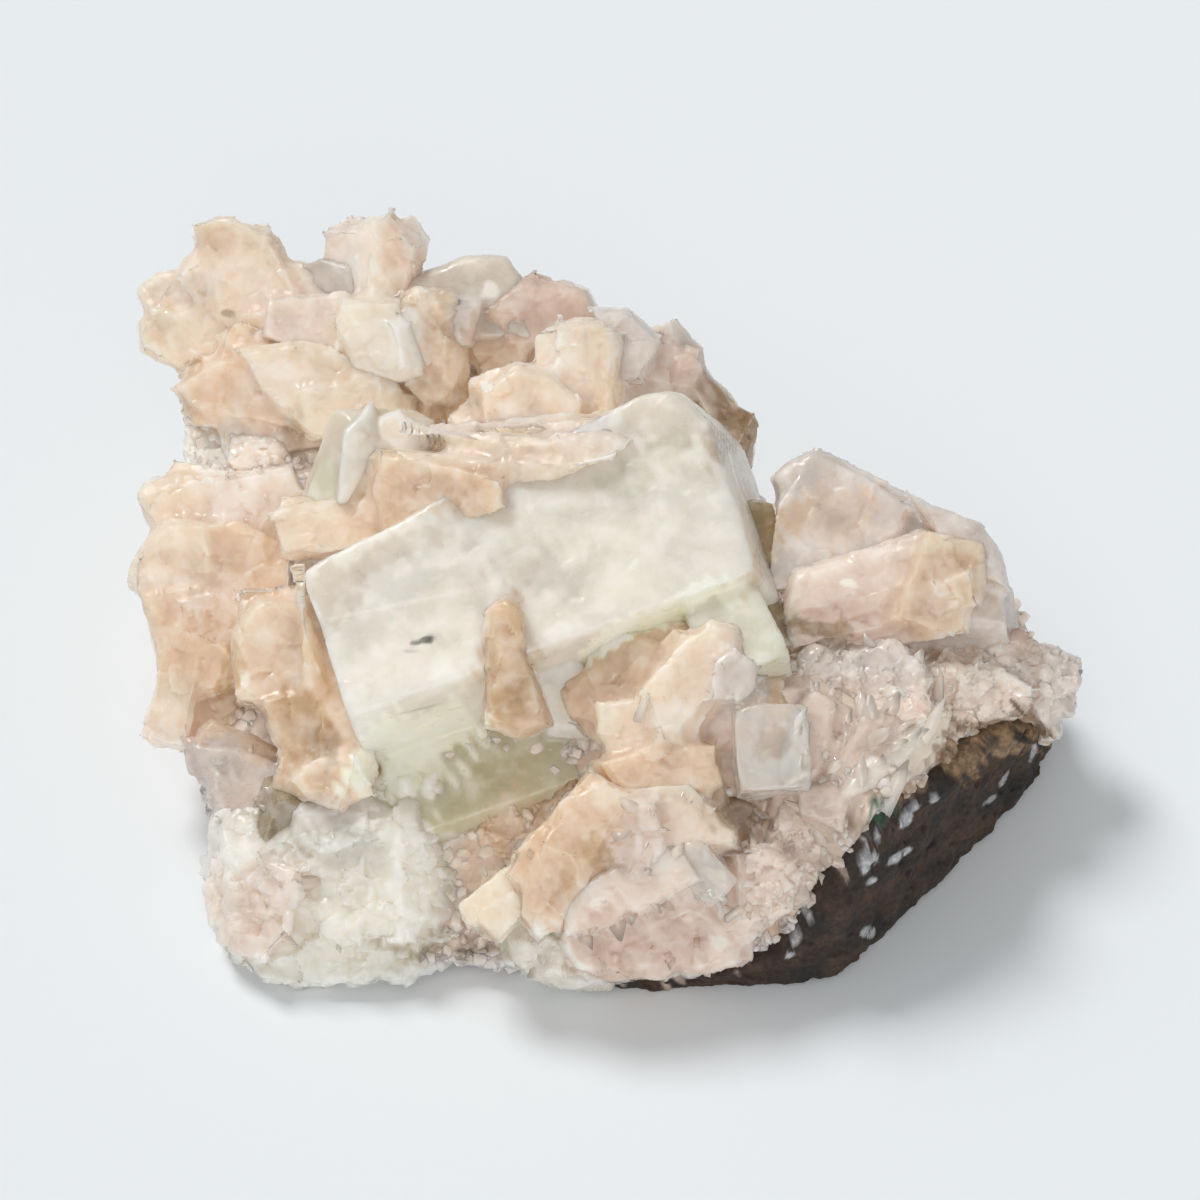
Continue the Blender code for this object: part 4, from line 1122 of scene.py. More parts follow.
# Sheaves: foot, tip, width, thickness, facing, blades, degrees between them, the slope of their ends, and the
# colours of tip and root
SHEAVES = {
    "stilbite_crown": [
        ((-34.5, 30, 24), (-43.2, 40.3, 38.4), 8.5, 5, (-0.2, -0.6, 0.77), 3, 5, 22, "ivory", "peach"),
        ((-36, 31, 24.5), (-51.6, 37, 29.8), 8, 5.5, (0, -0.5, 0.85), 2, 7, 30, "ivory", "tan"),
        ((-36, 29.5, 23.5), (-47.6, 34.2, 26), 5, 5.5, (0, -0.5, 0.85), 1, 7, 30, "peach", "tan"),
        ((-26.5, 30, 25.5), (-24, 39.9, 40.1), 7.5, 5.5, (-0.3, -0.7, 0.6), 2, 6, 35, "pink_white", "peach"),
        ((-25.2, 23.5, 25.5), (-24, 29, 37.6), 8, 6, (0, -0.8, 0.6), 2, 4, 25, "cream", "peach"),
        ((-34.5, 26, 24), (-35.5, 33.5, 34.5), 10, 6.5, (-0.1, -0.7, 0.7), 2, 8, 40, "ivory", "peach"),
        ((-30, 26, 25), (-29, 33.2, 35), 8, 6, (0.1, -0.7, 0.7), 2, 6, 40, "pink_white", "peach"),
    ],
    "stilbite_column": [
        ((-16.8, 20.5, 24.5), (-20, 30.4, 38.2), 5.6, 5.2, (0.3, -0.75, 0.6), 2, 5, 25, "tan", "golden"),
    ],
    "stilbite_fan": [
        ((-25, 23.5, 27), (-47.2, 25.6, 26.8), 10.5, 7.5, (0, -0.62, 0.78), 4, 7, 40, "peach", "ivory"),
        ((-33, 22.5, 28), (-21.8, 22, 29.5), 7.5, 7.5, (0, -0.62, 0.78), 2, 8, 35, "ivory", "peach"),
    ],
    "stilbite_tablet": [
        ((-1.8, 14, 31), (-1.8, 25.6, 39), 7.8, 5.6, (-0.35, -0.75, 0.56), 2, 3, 20, "cream", "peach"),
        ((-7.5, 8.6, 32), (-10.8, 21.5, 35), 12, 7, (0, -0.6, 0.8), 4, 8, 35, "ivory", "peach"),
    ],
    "stilbite_ridge": [
        ((-22.5, 12.2, 31.5), (3.4, 7.2, 38.2), 3.8, 5, (0, -0.8, 0.6), 1, 0, 20, "ivory", "pink_white"),
        ((-22.5, 9, 30), (-1, 6.6, 35.4), 5, 5.5, (0, -0.75, 0.66), 2, 4, 30, "ivory", "peach"),
        ((-24, 5.5, 27), (-11.5, 5.6, 33.4), 8, 7, (-0.1, -0.6, 0.8), 3, 6, 30, "peach", "tan"),
        ((-23.5, 3.2, 29.5), (-36, 5.6, 26.4), 5.4, 6, (0, -0.6, 0.8), 2, 4, 30, "ivory", "peach"),
    ],
    "stilbite_rear": [
        ((-14, 28, 27), (-1.6, 35.2, 31.2), 9, 7, (0, -0.6, 0.8), 3, 7, 35, "pink", "tan"),
        ((-3, 28, 25), (11.8, 28.2, 27.4), 8, 7.5, (0, -0.55, 0.83), 3, 7, 35, "lilac", "pink"),
        # This blade's brown tip is painted shade: it lies at the back, in shadow
        ((8, 26, 23), (16.8, 21.6, 20), 6.5, 8, (0.2, -0.5, 0.84), 2, 8, 35, "brown", "lilac"),
    ],
    "stilbite_shelf": [
        ((-33, 9, 23), (-51.2, 13.6, 21.8), 7.5, 5.5, (0, -0.45, 0.89), 3, 5, 30, "ivory", "peach"),
        ((-34, 2.2, 21), (-52.4, 3.4, 19.8), 10, 6, (-0.1, -0.5, 0.85), 3, 6, 38, "ivory", "peach"),
        ((-36.5, -4.5, 18), (-49, -2.6, 15.5), 8.5, 6, (-0.2, -0.6, 0.77), 3, 6, 30, "peach", "tan"),
        ((-45.3, -4.5, 17.5), (-47.8, -12.8, 10), 4.4, 3.6, (-0.4, -0.6, 0.7), 2, 5, 25, "pink_white", "tan"),
    ],
    "stilbite_pillar": [
        ((-36, -2.8, 25), (-35, -14.8, 18.6), 7.8, 6, (0, -0.45, 0.9), 3, 3, 20, "peach", "peach"),
        ((-32.5, -1, 23), (-30.5, -19.5, 14.5), 6.5, 6, (0.2, -0.45, 0.87), 2, 3, 20, "golden", "tan"),
        ((-30.4, -4, 25.5), (-26.8, -22, 16), 4, 6, (0, -0.45, 0.9), 1, 0, 25, "peach", "tan"),
        ((-34, -19, 15.5), (-24.8, -23.4, 17.2), 5.4, 5, (0, -0.7, 0.7), 2, 5, 30, "peach", "tan"),
    ],
    "stilbite_bowtie": [
        ((-10.4, -19.2, 32), (-10.2, -12.8, 35.6), 3.2, 3.6, (0, -0.55, 0.83), 2, 8, 30, "peach", "tan"),
        ((-10.2, -17.4, 33), (-9, -22.6, 24.6), 4.6, 4.6, (0.1, -0.85, 0.5), 3, 8, 25, "tan", "tan"),
    ],
    "stilbite_right": [
        ((20.6, -6.2, 23.5), (42.8, -2.6, 27.6), 8.5, 8, (0, -0.75, 0.66), 3, 3, 28, "ivory", "pink"),
    ],
    "stilbite_sheaf": [
        ((2.5, -27.5, 21.5), (-7, -38.6, 11), 9.5, 7, (-0.1, -0.72, 0.68), 3, 6, 25, "peach", "peach"),
        ((4.5, -29, 20.5), (3, -35.5, 15.2), 6, 6, (0, -0.75, 0.66), 2, 8, 25, "golden", "tan"),
        ((8.5, -25.5, 20), (9.5, -33.5, 16), 10, 6, (0.1, -0.75, 0.66), 3, 8, 30, "pink_white", "tan"),
    ],
    "stilbite_pointer": [
        ((-6.8, -33.5, 15.5), (-14.2, -37.8, 10.2), 4.2, 4, (-0.3, -0.7, 0.65), 2, 6, 35, "ivory", "cream"),
    ],
    "stilbite_foot": [
        ((9, -30, 14.5), (0, -38.8, 3.6), 9.5, 7, (-0.1, -0.85, 0.5), 3, 6, 35, "pink", "pink_white"),
        ((14, -31, 12.5), (10.5, -38.4, 4), 8.5, 6.5, (0.15, -0.85, 0.5), 3, 7, 35, "pink", "pink_white"),
        ((17, -30, 15), (18.5, -35.6, 8.5), 7, 6, (0.3, -0.85, 0.45), 2, 8, 35, "pink_white", "pink"),
    ],
    "stilbite_front": [
        ((1, -20, 20.5), (8.5, -12.4, 29.6), 12, 7, (-0.2, -0.65, 0.75), 3, 11, 35, "tan", "peach"),
        ((5.8, -21.6, 21.5), (13.6, -13.6, 32), 7.4, 6.5, (-0.3, -0.6, 0.72), 2, 5, 30, "peach", "ivory"),
        ((13.4, -21, 22), (14.8, -17, 30), 5, 5, (0.2, -0.7, 0.7), 1, 0, 30, "lilac", "pink"),
        ((16.5, -20, 20), (18.2, -15.8, 25.6), 5, 5, (0.2, -0.7, 0.7), 1, 0, 30, "tan", "peach"),
        ((-1, -26, 19.5), (13, -25.4, 22.5), 5, 6, (0, -0.7, 0.7), 2, 3, 30, "peach", "tan"),
    ],
    "heulandite_plates": [
        ((20.6, -27, 15.5), (26.3, -16.8, 25.4), 6.5, 3.6, (0.45, -0.7, 0.55), 2, 4, 25, "pink_white",
         "pink"),
        ((24, -29.6, 17), (33.6, -19.8, 24.8), 6.5, 3.6, (0.35, -0.75, 0.55), 2, 4, 25, "pink_white", "pink"),
        ((28.5, -27.5, 19), (35, -15.8, 24.8), 5.5, 3.4, (0.4, -0.7, 0.6), 2, 4, 25, "white", "pink_white"),
        ((21.5, -20, 19), (21.6, -14.8, 26), 5, 4, (0.1, -0.7, 0.7), 1, 0, 30, "pink_white", "pink"),
    ],
    "clear_plates": [
        ((-36, -15.5, 10), (-45.4, -13.8, 13.2), 5.5, 3, (-0.1, -0.7, 0.7), 2, 6, 30, "lilac", "tan"),
        ((-35, -17.5, 9.5), (-43.2, -20.4, 9.6), 6.5, 3.2, (-0.2, -0.7, 0.7), 2, 6, 30, "lilac", "tan"),
        ((-33, -17, 9), (-38.6, -24.4, 7.6), 5.5, 3, (-0.3, -0.75, 0.55), 2, 6, 30, "lilac", "tan"),
    ],
}

RIGHT_DRUSE = [
    ((23, -14, 15), (24.2, -10, 23.4), 5.5, 5.5, (0.1, -0.7, 0.7), 2, 6, 35, "lilac", "brown"),
    ((31, -14.5, 16), (31.5, -10, 24.6), 8.5, 6, (0, -0.7, 0.7), 3, 6, 35, "lilac", "pink"),
    ((38, -13, 14), (40, -8.6, 22.2), 7, 6, (0.1, -0.7, 0.7), 2, 6, 35, "pink", "pink_white"),
    ((41, -7, 12), (46.5, -4, 17.4), 6.5, 6, (0.2, -0.6, 0.77), 2, 8, 35, "lilac", "pink"),
    ((43, -7, 11.5), (52.3, -5, 14.6), 6.4, 6.5, (0.1, -0.6, 0.8), 2, 8, 32, "lilac", "pink_white"),
]


# Crystals by their outline in the photograph: name, colour, lean to the right and up, lift, and the column
# and row of each corner in turn
SLABS = {
    "stilbite_crown": [
        ("left tip", "ivory", (-0.1, -0.1), 0.5, (193, 226, 218, 218, 249, 226, 278, 250, 302, 295, 262,
         332, 216, 318)),
        ("left shoulder", "ivory", (-0.2, 0.15), 0.3, (138, 290, 157, 273, 205, 268, 232, 285, 236, 325,
         205, 362, 172, 358)),
        ("left heel", "cream", (-0.2, -0.3), 0.3, (150, 310, 225, 318, 225, 350, 187, 374, 168, 352)),
        ("crown middle", "ivory", (0, 0), 0.6, (228, 272, 300, 262, 335, 300, 330, 345, 262, 348, 225, 320)),
        ("crown saddle", "pink_white", (0.1, 0.1), 0.8, (270, 300, 345, 292, 352, 350, 300, 352, 264, 335)),
        ("right tip left face", "white", (-0.45, 0.05), 0.4, (337, 241, 387, 213, 380, 300, 345, 302, 335,
         265)),
        ("right tip right face", "ivory", (0.35, 0), 0.4, (370, 223, 388, 213, 400, 223, 402, 250, 407,
         272, 395, 300, 368, 302)),
        ("crown front", "cream", (0, 0.05), 0.8, (342, 300, 400, 298, 420, 342, 426, 375, 395, 382, 350,
         367, 337, 330)),
        ("crown front facet", "white", (0.5, 0.1), 1.0, (392, 325, 415, 320, 426, 372, 404, 370)),
    ],
    "stilbite_column": [
        ("column", "ivory", (0.15, 0), 0.5, (402, 300, 416, 288, 438, 292, 452, 330, 461, 370, 452, 400,
         425, 408, 405, 385)),
        ("column foot", "peach", (0, -0.3), 0.3, (398, 385, 428, 380, 430, 418, 402, 414)),
    ],
    "stilbite_fan": [
        ("fan left", "peach", (-0.15, 0), 0.5, (176, 388, 210, 362, 262, 345, 300, 380, 290, 425, 202, 412)),
        ("fan middle", "ivory", (0, 0.05), 0.8, (240, 350, 300, 340, 350, 350, 398, 382, 385, 420, 312,
         440, 270, 402)),
        ("fan right", "cream", (0.1, -0.05), 0.9, (300, 385, 360, 378, 420, 395, 402, 430, 345, 442, 310,
         425)),
        ("fan heel", "pink_white", (-0.1, -0.3), 0.2, (198, 405, 255, 395, 300, 415, 300, 440, 240, 434)),
    ],
    "apophyllite_spike": [
        ("spike front", "milk_green", (-0.3, 0.1), 0.5, (325, 446, 341, 438, 342, 490, 335, 507, 302, 506)),
        ("spike rim", "grey_milk", (0.3, 0), 0.6, (371, 404, 380, 440, 347, 502, 337, 503, 344, 430)),
        ("spike clear", "white", (0.2, 0.2), 0.8, (378, 418, 400, 411, 426, 430, 420, 453, 398, 455, 380,
         440)),
    ],
    "apophyllite_back": [
        ("back face", "grey", (0, 0.1), 0.2, (402, 282, 467, 256, 505, 257, 521, 279, 508, 300, 440, 303,
         410, 300)),
        ("back edge", "lilac", (0.2, -0.2), 0.3, (438, 300, 482, 298, 470, 345, 455, 347)),
    ],
    "stilbite_rear": [
        ("rear left", "tan", (0, 0), 0.4, (462, 306, 505, 300, 531, 345, 520, 382, 480, 376, 465, 345)),
        ("rear middle", "pink", (0.1, 0.1), 0.5, (498, 296, 520, 280, 560, 282, 585, 291, 596, 312, 556,
         346, 505, 346)),
        ("rear grey", "lilac", (0.2, 0.1), 0.3, (595, 311, 626, 312, 658, 341, 640, 380, 613, 378)),
        ("rear pale", "pink", (0.1, 0.1), 0.4, (635, 347, 658, 339, 699, 350, 704, 378, 690, 392, 640, 384)),
        # The rear brown slab's colour is painted shade on a blade at the back
        ("rear brown", "brown", (0.3, -0.1), 0.2, (702, 374, 727, 396, 750, 440, 747, 462, 727, 464, 705,
         420, 690, 388)),
    ],
    "stilbite_tablet": [
        ("tablet", "ivory", (0.15, 0), 0.5, (556, 330, 572, 321, 605, 320, 613, 337, 615, 395, 603, 416,
         588, 421, 562, 400)),
        ("tablet side", "white", (-0.45, 0), 0.6, (548, 345, 560, 326, 573, 345, 575, 392, 556, 380)),
        ("tablet heel", "ivory", (0, 0.05), 0.7, (480, 388, 514, 365, 550, 370, 582, 400, 577, 436, 530,
         452, 488, 432)),
        ("tablet foot", "peach", (0, -0.2), 0.6, (482, 430, 540, 424, 592, 424, 560, 457, 500, 463)),
    ],
    "stilbite_ridge": [
        ("ridge", "ivory", (-0.15, 0.15), 6.3, (402, 420, 428, 428, 500, 434, 590, 433, 600, 445, 560,
         462, 480, 460, 415, 445)),
        ("ridge end", "pink_white", (0.1, 0.1), 2.0, (560, 434, 620, 433, 629, 440, 614, 455, 565, 462)),
        ("ridge face", "ivory", (-0.15, -0.15), 6.9, (400, 452, 480, 455, 600, 458, 560, 478, 480, 484,
         408, 476)),
        ("beige heel", "peach", (-0.42, -0.1), 6.6, (380, 452, 440, 462, 500, 480, 505, 506, 440, 531,
         384, 533, 372, 490)),
        ("beige left", "cream", (-0.2, 0), 1.4, (347, 470, 380, 450, 398, 480, 400, 535, 350, 547, 335, 512)),
        ("peach band", "ivory", (0, 0.1), 0.5, (270, 517, 300, 503, 345, 507, 374, 535, 372, 549, 320,
         553, 284, 550)),
        ("band foot", "pink_white", (-0.1, -0.1), 0.4, (278, 538, 324, 546, 322, 572, 302, 584, 276, 574)),
    ],
    "stilbite_shelf": [
        ("shelf top", "ivory", (-0.1, 0.15), 0.4, (138, 496, 146, 484, 187, 473, 240, 477, 270, 494, 262,
         532, 200, 534, 148, 522)),
        ("shelf rear", "pink_white", (0, 0.1), 0.6, (210, 478, 290, 468, 303, 494, 276, 521, 250, 538,
         214, 520)),
        ("shelf spike", "ivory", (-0.25, 0), 0.4, (125, 583, 148, 538, 165, 520, 202, 521, 212, 560, 200,
         592, 152, 598)),
        ("shelf middle", "peach", (0, 0), 0.7, (195, 527, 235, 521, 270, 538, 277, 575, 235, 582, 200, 577)),
        ("shelf low", "peach", (-0.1, -0.1), 0.4, (142, 596, 195, 584, 236, 600, 236, 640, 190, 652, 156,
         650)),
        ("shelf crust", "pink_white", (0.1, 0), 0.6, (176, 600, 215, 588, 246, 596, 240, 626, 200, 642,
         180, 626)),
        ("shelf foot", "peach", (-0.2, -0.1), 0.3, (157, 650, 166, 622, 216, 640, 234, 660, 226, 692, 175,
         702, 161, 682)),
        ("low blade", "ivory", (-0.3, 0.05), 0.4, (155, 706, 165, 674, 195, 671, 194, 715, 186, 745, 170,
         738)),
        ("low lump", "peach", (0, 0), 0.4, (195, 690, 236, 684, 252, 715, 246, 746, 200, 747)),
    ],
    "stilbite_pillar": [
        ("pillar", "ivory", (0, 0.05), 0.5, (236, 625, 256, 600, 303, 600, 312, 640, 300, 692, 260, 706,
         240, 700, 233, 655)),
        ("golden pillar", "tan", (0.05, -0.05), 0.5, (262, 700, 305, 688, 322, 720, 328, 758, 292, 760,
         274, 740)),
        ("strip", "peach", (0.1, 0), 0.5, (304, 602, 316, 640, 344, 712, 362, 771, 345, 776, 322, 750,
         302, 680)),
        ("ledge", "ivory", (0, -0.1), 0.5, (300, 766, 330, 756, 360, 767, 373, 795, 350, 802, 305, 796,
         292, 781)),
    ],
    "clear_plates": [
        ("lower plate", "lilac", (-0.2, 0), 0.4, (184, 745, 240, 748, 292, 770, 282, 792, 256, 822, 226,
         826, 217, 812, 200, 776)),
        ("upper plate", "pink", (0, 0.1), 0.5, (180, 737, 225, 744, 262, 770, 250, 792, 212, 787)),
    ],
    "apophyllite_corner": [
        ("corner top", "grey_milk", (0, 0.35), 0.3, (300, 802, 368, 790, 402, 820, 396, 838, 330, 852,
         290, 842)),
        ("corner face", "milk", (-0.05, 0.1), 0.4, (290, 845, 330, 828, 397, 824, 397, 942, 340, 948, 298,
         905)),
        ("corner right face", "white", (0.35, 0), 0.4, (396, 824, 440, 842, 442, 880, 419, 941, 398, 943)),
        ("corner left face", "pink_white", (-0.35, 0), 0.3, (226, 872, 260, 855, 302, 868, 292, 930, 260,
         962, 221, 940)),
        ("corner low face", "milk", (-0.1, -0.3), 0.3, (250, 948, 300, 900, 362, 945, 352, 977, 300, 989,
         260, 977)),
        ("corner green foot", "milk_green", (0.1, -0.4), 0.3, (345, 946, 420, 940, 450, 918, 459, 940,
         430, 963, 390, 965, 362, 978)),
        ("corner pink", "pink_white", (0.4, 0), 0.3, (440, 852, 464, 870, 468, 918, 445, 926, 428, 930)),
        ("corner shoulder", "white", (-0.3, 0.2), 0.3, (225, 832, 252, 838, 264, 856, 232, 874, 223, 860)),
    ],
    "apophyllite_block": [
        ("tooth left", "white", (0, -0.1), 0.8, (368, 778, 388, 772, 394, 794, 379, 798)),
        ("tooth middle", "white", (0.1, -0.1), 0.8, (396, 779, 411, 775, 414, 795, 399, 797)),
        ("tooth right", "white", (0.2, -0.1), 0.8, (422, 778, 438, 772, 432, 799, 423, 793)),
        ("grey heel", "grey_milk", (0.1, -0.1), 0.3, (528, 668, 574, 655, 602, 690, 592, 738, 548, 736)),
    ],
    "stilbite_bowtie": [
        ("bow top", "peach", (-0.1, 0.1), 0.6, (488, 612, 506, 599, 518, 606, 524, 645, 500, 664, 484, 640)),
        ("bow foot", "tan", (0.1, -0.1), 0.6, (498, 652, 524, 645, 534, 680, 552, 722, 520, 738, 484, 722,
         492, 690)),
    ],
    "stilbite_front": [
        ("front fan", "peach", (-0.1, 0.1), 0.5, (560, 690, 598, 657, 660, 626, 704, 624, 690, 668, 650,
         706, 600, 722, 570, 716)),
        ("leaning blade", "ivory", (0.1, 0.05), 1.2, (640, 695, 684, 640, 712, 621, 738, 628, 748, 650,
         713, 692, 690, 730, 655, 735)),
        ("front grey", "lilac", (0.2, 0), 1.2, (715, 660, 735, 648, 754, 665, 755, 686, 740, 703, 712, 700)),
        ("front low", "ivory", (0, 0), 0.6, (598, 704, 650, 700, 700, 718, 702, 757, 620, 762, 596, 735)),
        ("front window", "tan", (0.1, 0), 0.6, (750, 672, 785, 674, 786, 700, 750, 703)),
        ("front ledge", "peach", (0, -0.1), 0.7, (600, 764, 640, 750, 715, 746, 721, 785, 680, 796, 620,
         790)),
    ],
    "stilbite_sheaf": [
        ("sheaf", "ivory", (-0.1, 0.05), 0.6, (548, 830, 570, 797, 605, 783, 633, 792, 612, 835, 595, 874,
         560, 882, 540, 864)),
        ("sheaf foot", "peach", (-0.1, -0.2), 0.6, (524, 882, 545, 840, 592, 855, 582, 886, 562, 921, 538,
         939, 521, 915)),
        ("sheaf window", "brown", (0.2, -0.1), 0.2, (705, 800, 771, 800, 768, 835, 746, 852, 714, 820)),
        ("sheaf beige", "ivory", (0.1, 0), 0.6, (628, 790, 690, 784, 735, 828, 737, 862, 700, 845, 648, 842)),
        ("sheaf glitter", "pink_white", (-0.1, -0.1), 0.7, (602, 850, 630, 800, 656, 800, 666, 850, 642,
         882, 606, 872)),
    ],
    "stilbite_foot": [
        ("pink upper", "pink_white", (0, 0), 0.6, (580, 882, 602, 868, 680, 845, 702, 880, 650, 908, 600,
         932, 565, 937, 562, 915)),
        ("pink lower left", "pink", (-0.05, -0.2), 0.5, (560, 942, 600, 914, 650, 925, 662, 975, 605, 981,
         578, 969)),
        ("pink lower right", "pink_white", (0.1, -0.2), 0.5, (640, 920, 700, 904, 746, 935, 736, 966, 690,
         976, 655, 962)),
        ("pink right", "pink_white", (0.2, 0), 0.5, (680, 900, 720, 868, 760, 880, 776, 920, 746, 946,
         700, 926)),
        ("pink glint", "white", (-0.1, 0), 1.2, (652, 842, 666, 838, 674, 856, 668, 868, 652, 862)),
    ],
    "stilbite_pointer": [
        ("pointer", "cream", (-0.1, 0.1), 0.5, (467, 913, 495, 890, 530, 879, 531, 905, 500, 936, 478, 931)),
    ],
    "apophyllite_foot": [
        ("foot face", "white", (-0.2, 0), 0.4, (497, 936, 520, 924, 560, 938, 602, 965, 606, 985, 560,
         987, 528, 974)),
    ],
    "grey_crystal": [
        ("lilac left", "lilac", (-0.1, 0.1), 0.2, (775, 478, 800, 457, 825, 449, 872, 481, 916, 504, 900,
         532, 840, 552, 788, 520)),
        ("lilac right", "lilac", (0.2, 0), 0.2, (880, 486, 983, 528, 998, 547, 1008, 596, 980, 616, 950,
         562, 900, 540)),
    ],
    "stilbite_right": [
        ("right blade", "pink_white", (0, 0.1), 0.5, (784, 606, 796, 572, 880, 546, 930, 532, 946, 560,
         920, 596, 860, 606, 800, 620)),
        ("right tip", "peach", (0.3, -0.1), 0.5, (926, 532, 984, 545, 990, 575, 962, 622, 930, 637, 893,
         622, 903, 590)),
        ("right heel", "pink", (0, -0.4), 0.2, (800, 615, 890, 606, 905, 635, 870, 645, 815, 640)),
    ],
    "heulandite_plates": [
        ("plate one", "pink_white", (-0.1, 0), 0.5, (800, 702, 815, 690, 836, 702, 833, 742, 806, 792,
         799, 760)),
        ("plate two", "pink_white", (0.3, 0), 0.6, (832, 716, 850, 711, 866, 730, 850, 762, 816, 803, 808,
         790)),
        ("plate three", "white", (0.2, 0.1), 0.6, (850, 776, 880, 745, 915, 719, 931, 714, 915, 750, 870,
         792, 842, 798)),
        ("plate four", "cream", (0.3, 0), 0.7, (890, 742, 930, 705, 951, 715, 941, 746, 905, 777)),
        ("plate five", "white", (0, -0.1), 0.5, (838, 797, 880, 778, 902, 780, 868, 802, 840, 817)),
        ("plate six", "pink_white", (0, 0), 0.5, (798, 790, 835, 780, 851, 800, 842, 832, 800, 812)),
    ],
    "druse_crust": [
        ("left druse one", "white", (-0.2, 0.1), 0.6, (187, 430, 201, 417, 226, 425, 229, 446, 189, 451)),
        ("left druse two", "white", (-0.1, -0.1), 0.8, (186, 452, 206, 445, 233, 450, 232, 480, 192, 477)),
        ("left druse three", "pink_white", (0, 0), 0.6, (226, 431, 275, 432, 291, 455, 270, 476, 229, 471)),
        ("left druse four", "pink_white", (0.1, 0.1), 0.3, (255, 446, 299, 440, 296, 470, 262, 479)),
        # The recess slab is brown as painted shadow under the right blade
        ("recess", "brown", (0, -0.2), 0.1, (790, 622, 848, 618, 850, 650, 805, 652)),
        ("round one", "lilac", (0.1, 0), 0.8, (800, 652, 815, 643, 836, 655, 844, 685, 820, 696, 799, 690)),
        ("round two", "lilac", (0, 0.1), 0.8, (845, 651, 900, 640, 926, 665, 916, 691, 870, 702, 849, 681)),
        ("right druse one", "pink_white", (0, 0), 0.7, (925, 692, 950, 672, 1000, 667, 1031, 690, 1020,
         716, 960, 722, 930, 711)),
        ("right druse two", "pink", (0.1, 0.1), 0.5, (985, 642, 1020, 632, 1046, 655, 1040, 686, 1000, 681)),
        ("knob", "lilac", (0.2, 0.1), 0.4, (1040, 660, 1060, 649, 1080, 664, 1081, 686, 1062, 701, 1041,
         696)),
        ("knob foot", "lilac", (0.4, -0.1), 0.3, (1034, 700, 1060, 698, 1059, 735, 1046, 738)),
        ("middle druse", "pink_white", (0, 0), 0.7, (868, 702, 925, 694, 941, 720, 900, 742, 868, 726)),
        ("low druse", "pink_white", (0.1, 0), 0.6, (766, 842, 782, 800, 848, 812, 850, 840, 822, 872, 782,
         872)),
        ("low druse two", "pink_white", (0.1, -0.1), 0.5, (740, 852, 780, 840, 816, 872, 801, 898, 770,
         922, 744, 902)),
        ("band left", "tan", (0, -0.1), 0.6, (470, 812, 516, 800, 520, 830, 476, 839)),
        ("band right", "brown", (0, -0.1), 0.6, (520, 806, 570, 785, 601, 765, 592, 787, 560, 816, 525, 826)),
        ("band peach", "peach", (-0.1, 0), 0.5, (480, 836, 560, 806, 550, 840, 526, 882, 482, 872)),
    ],
}
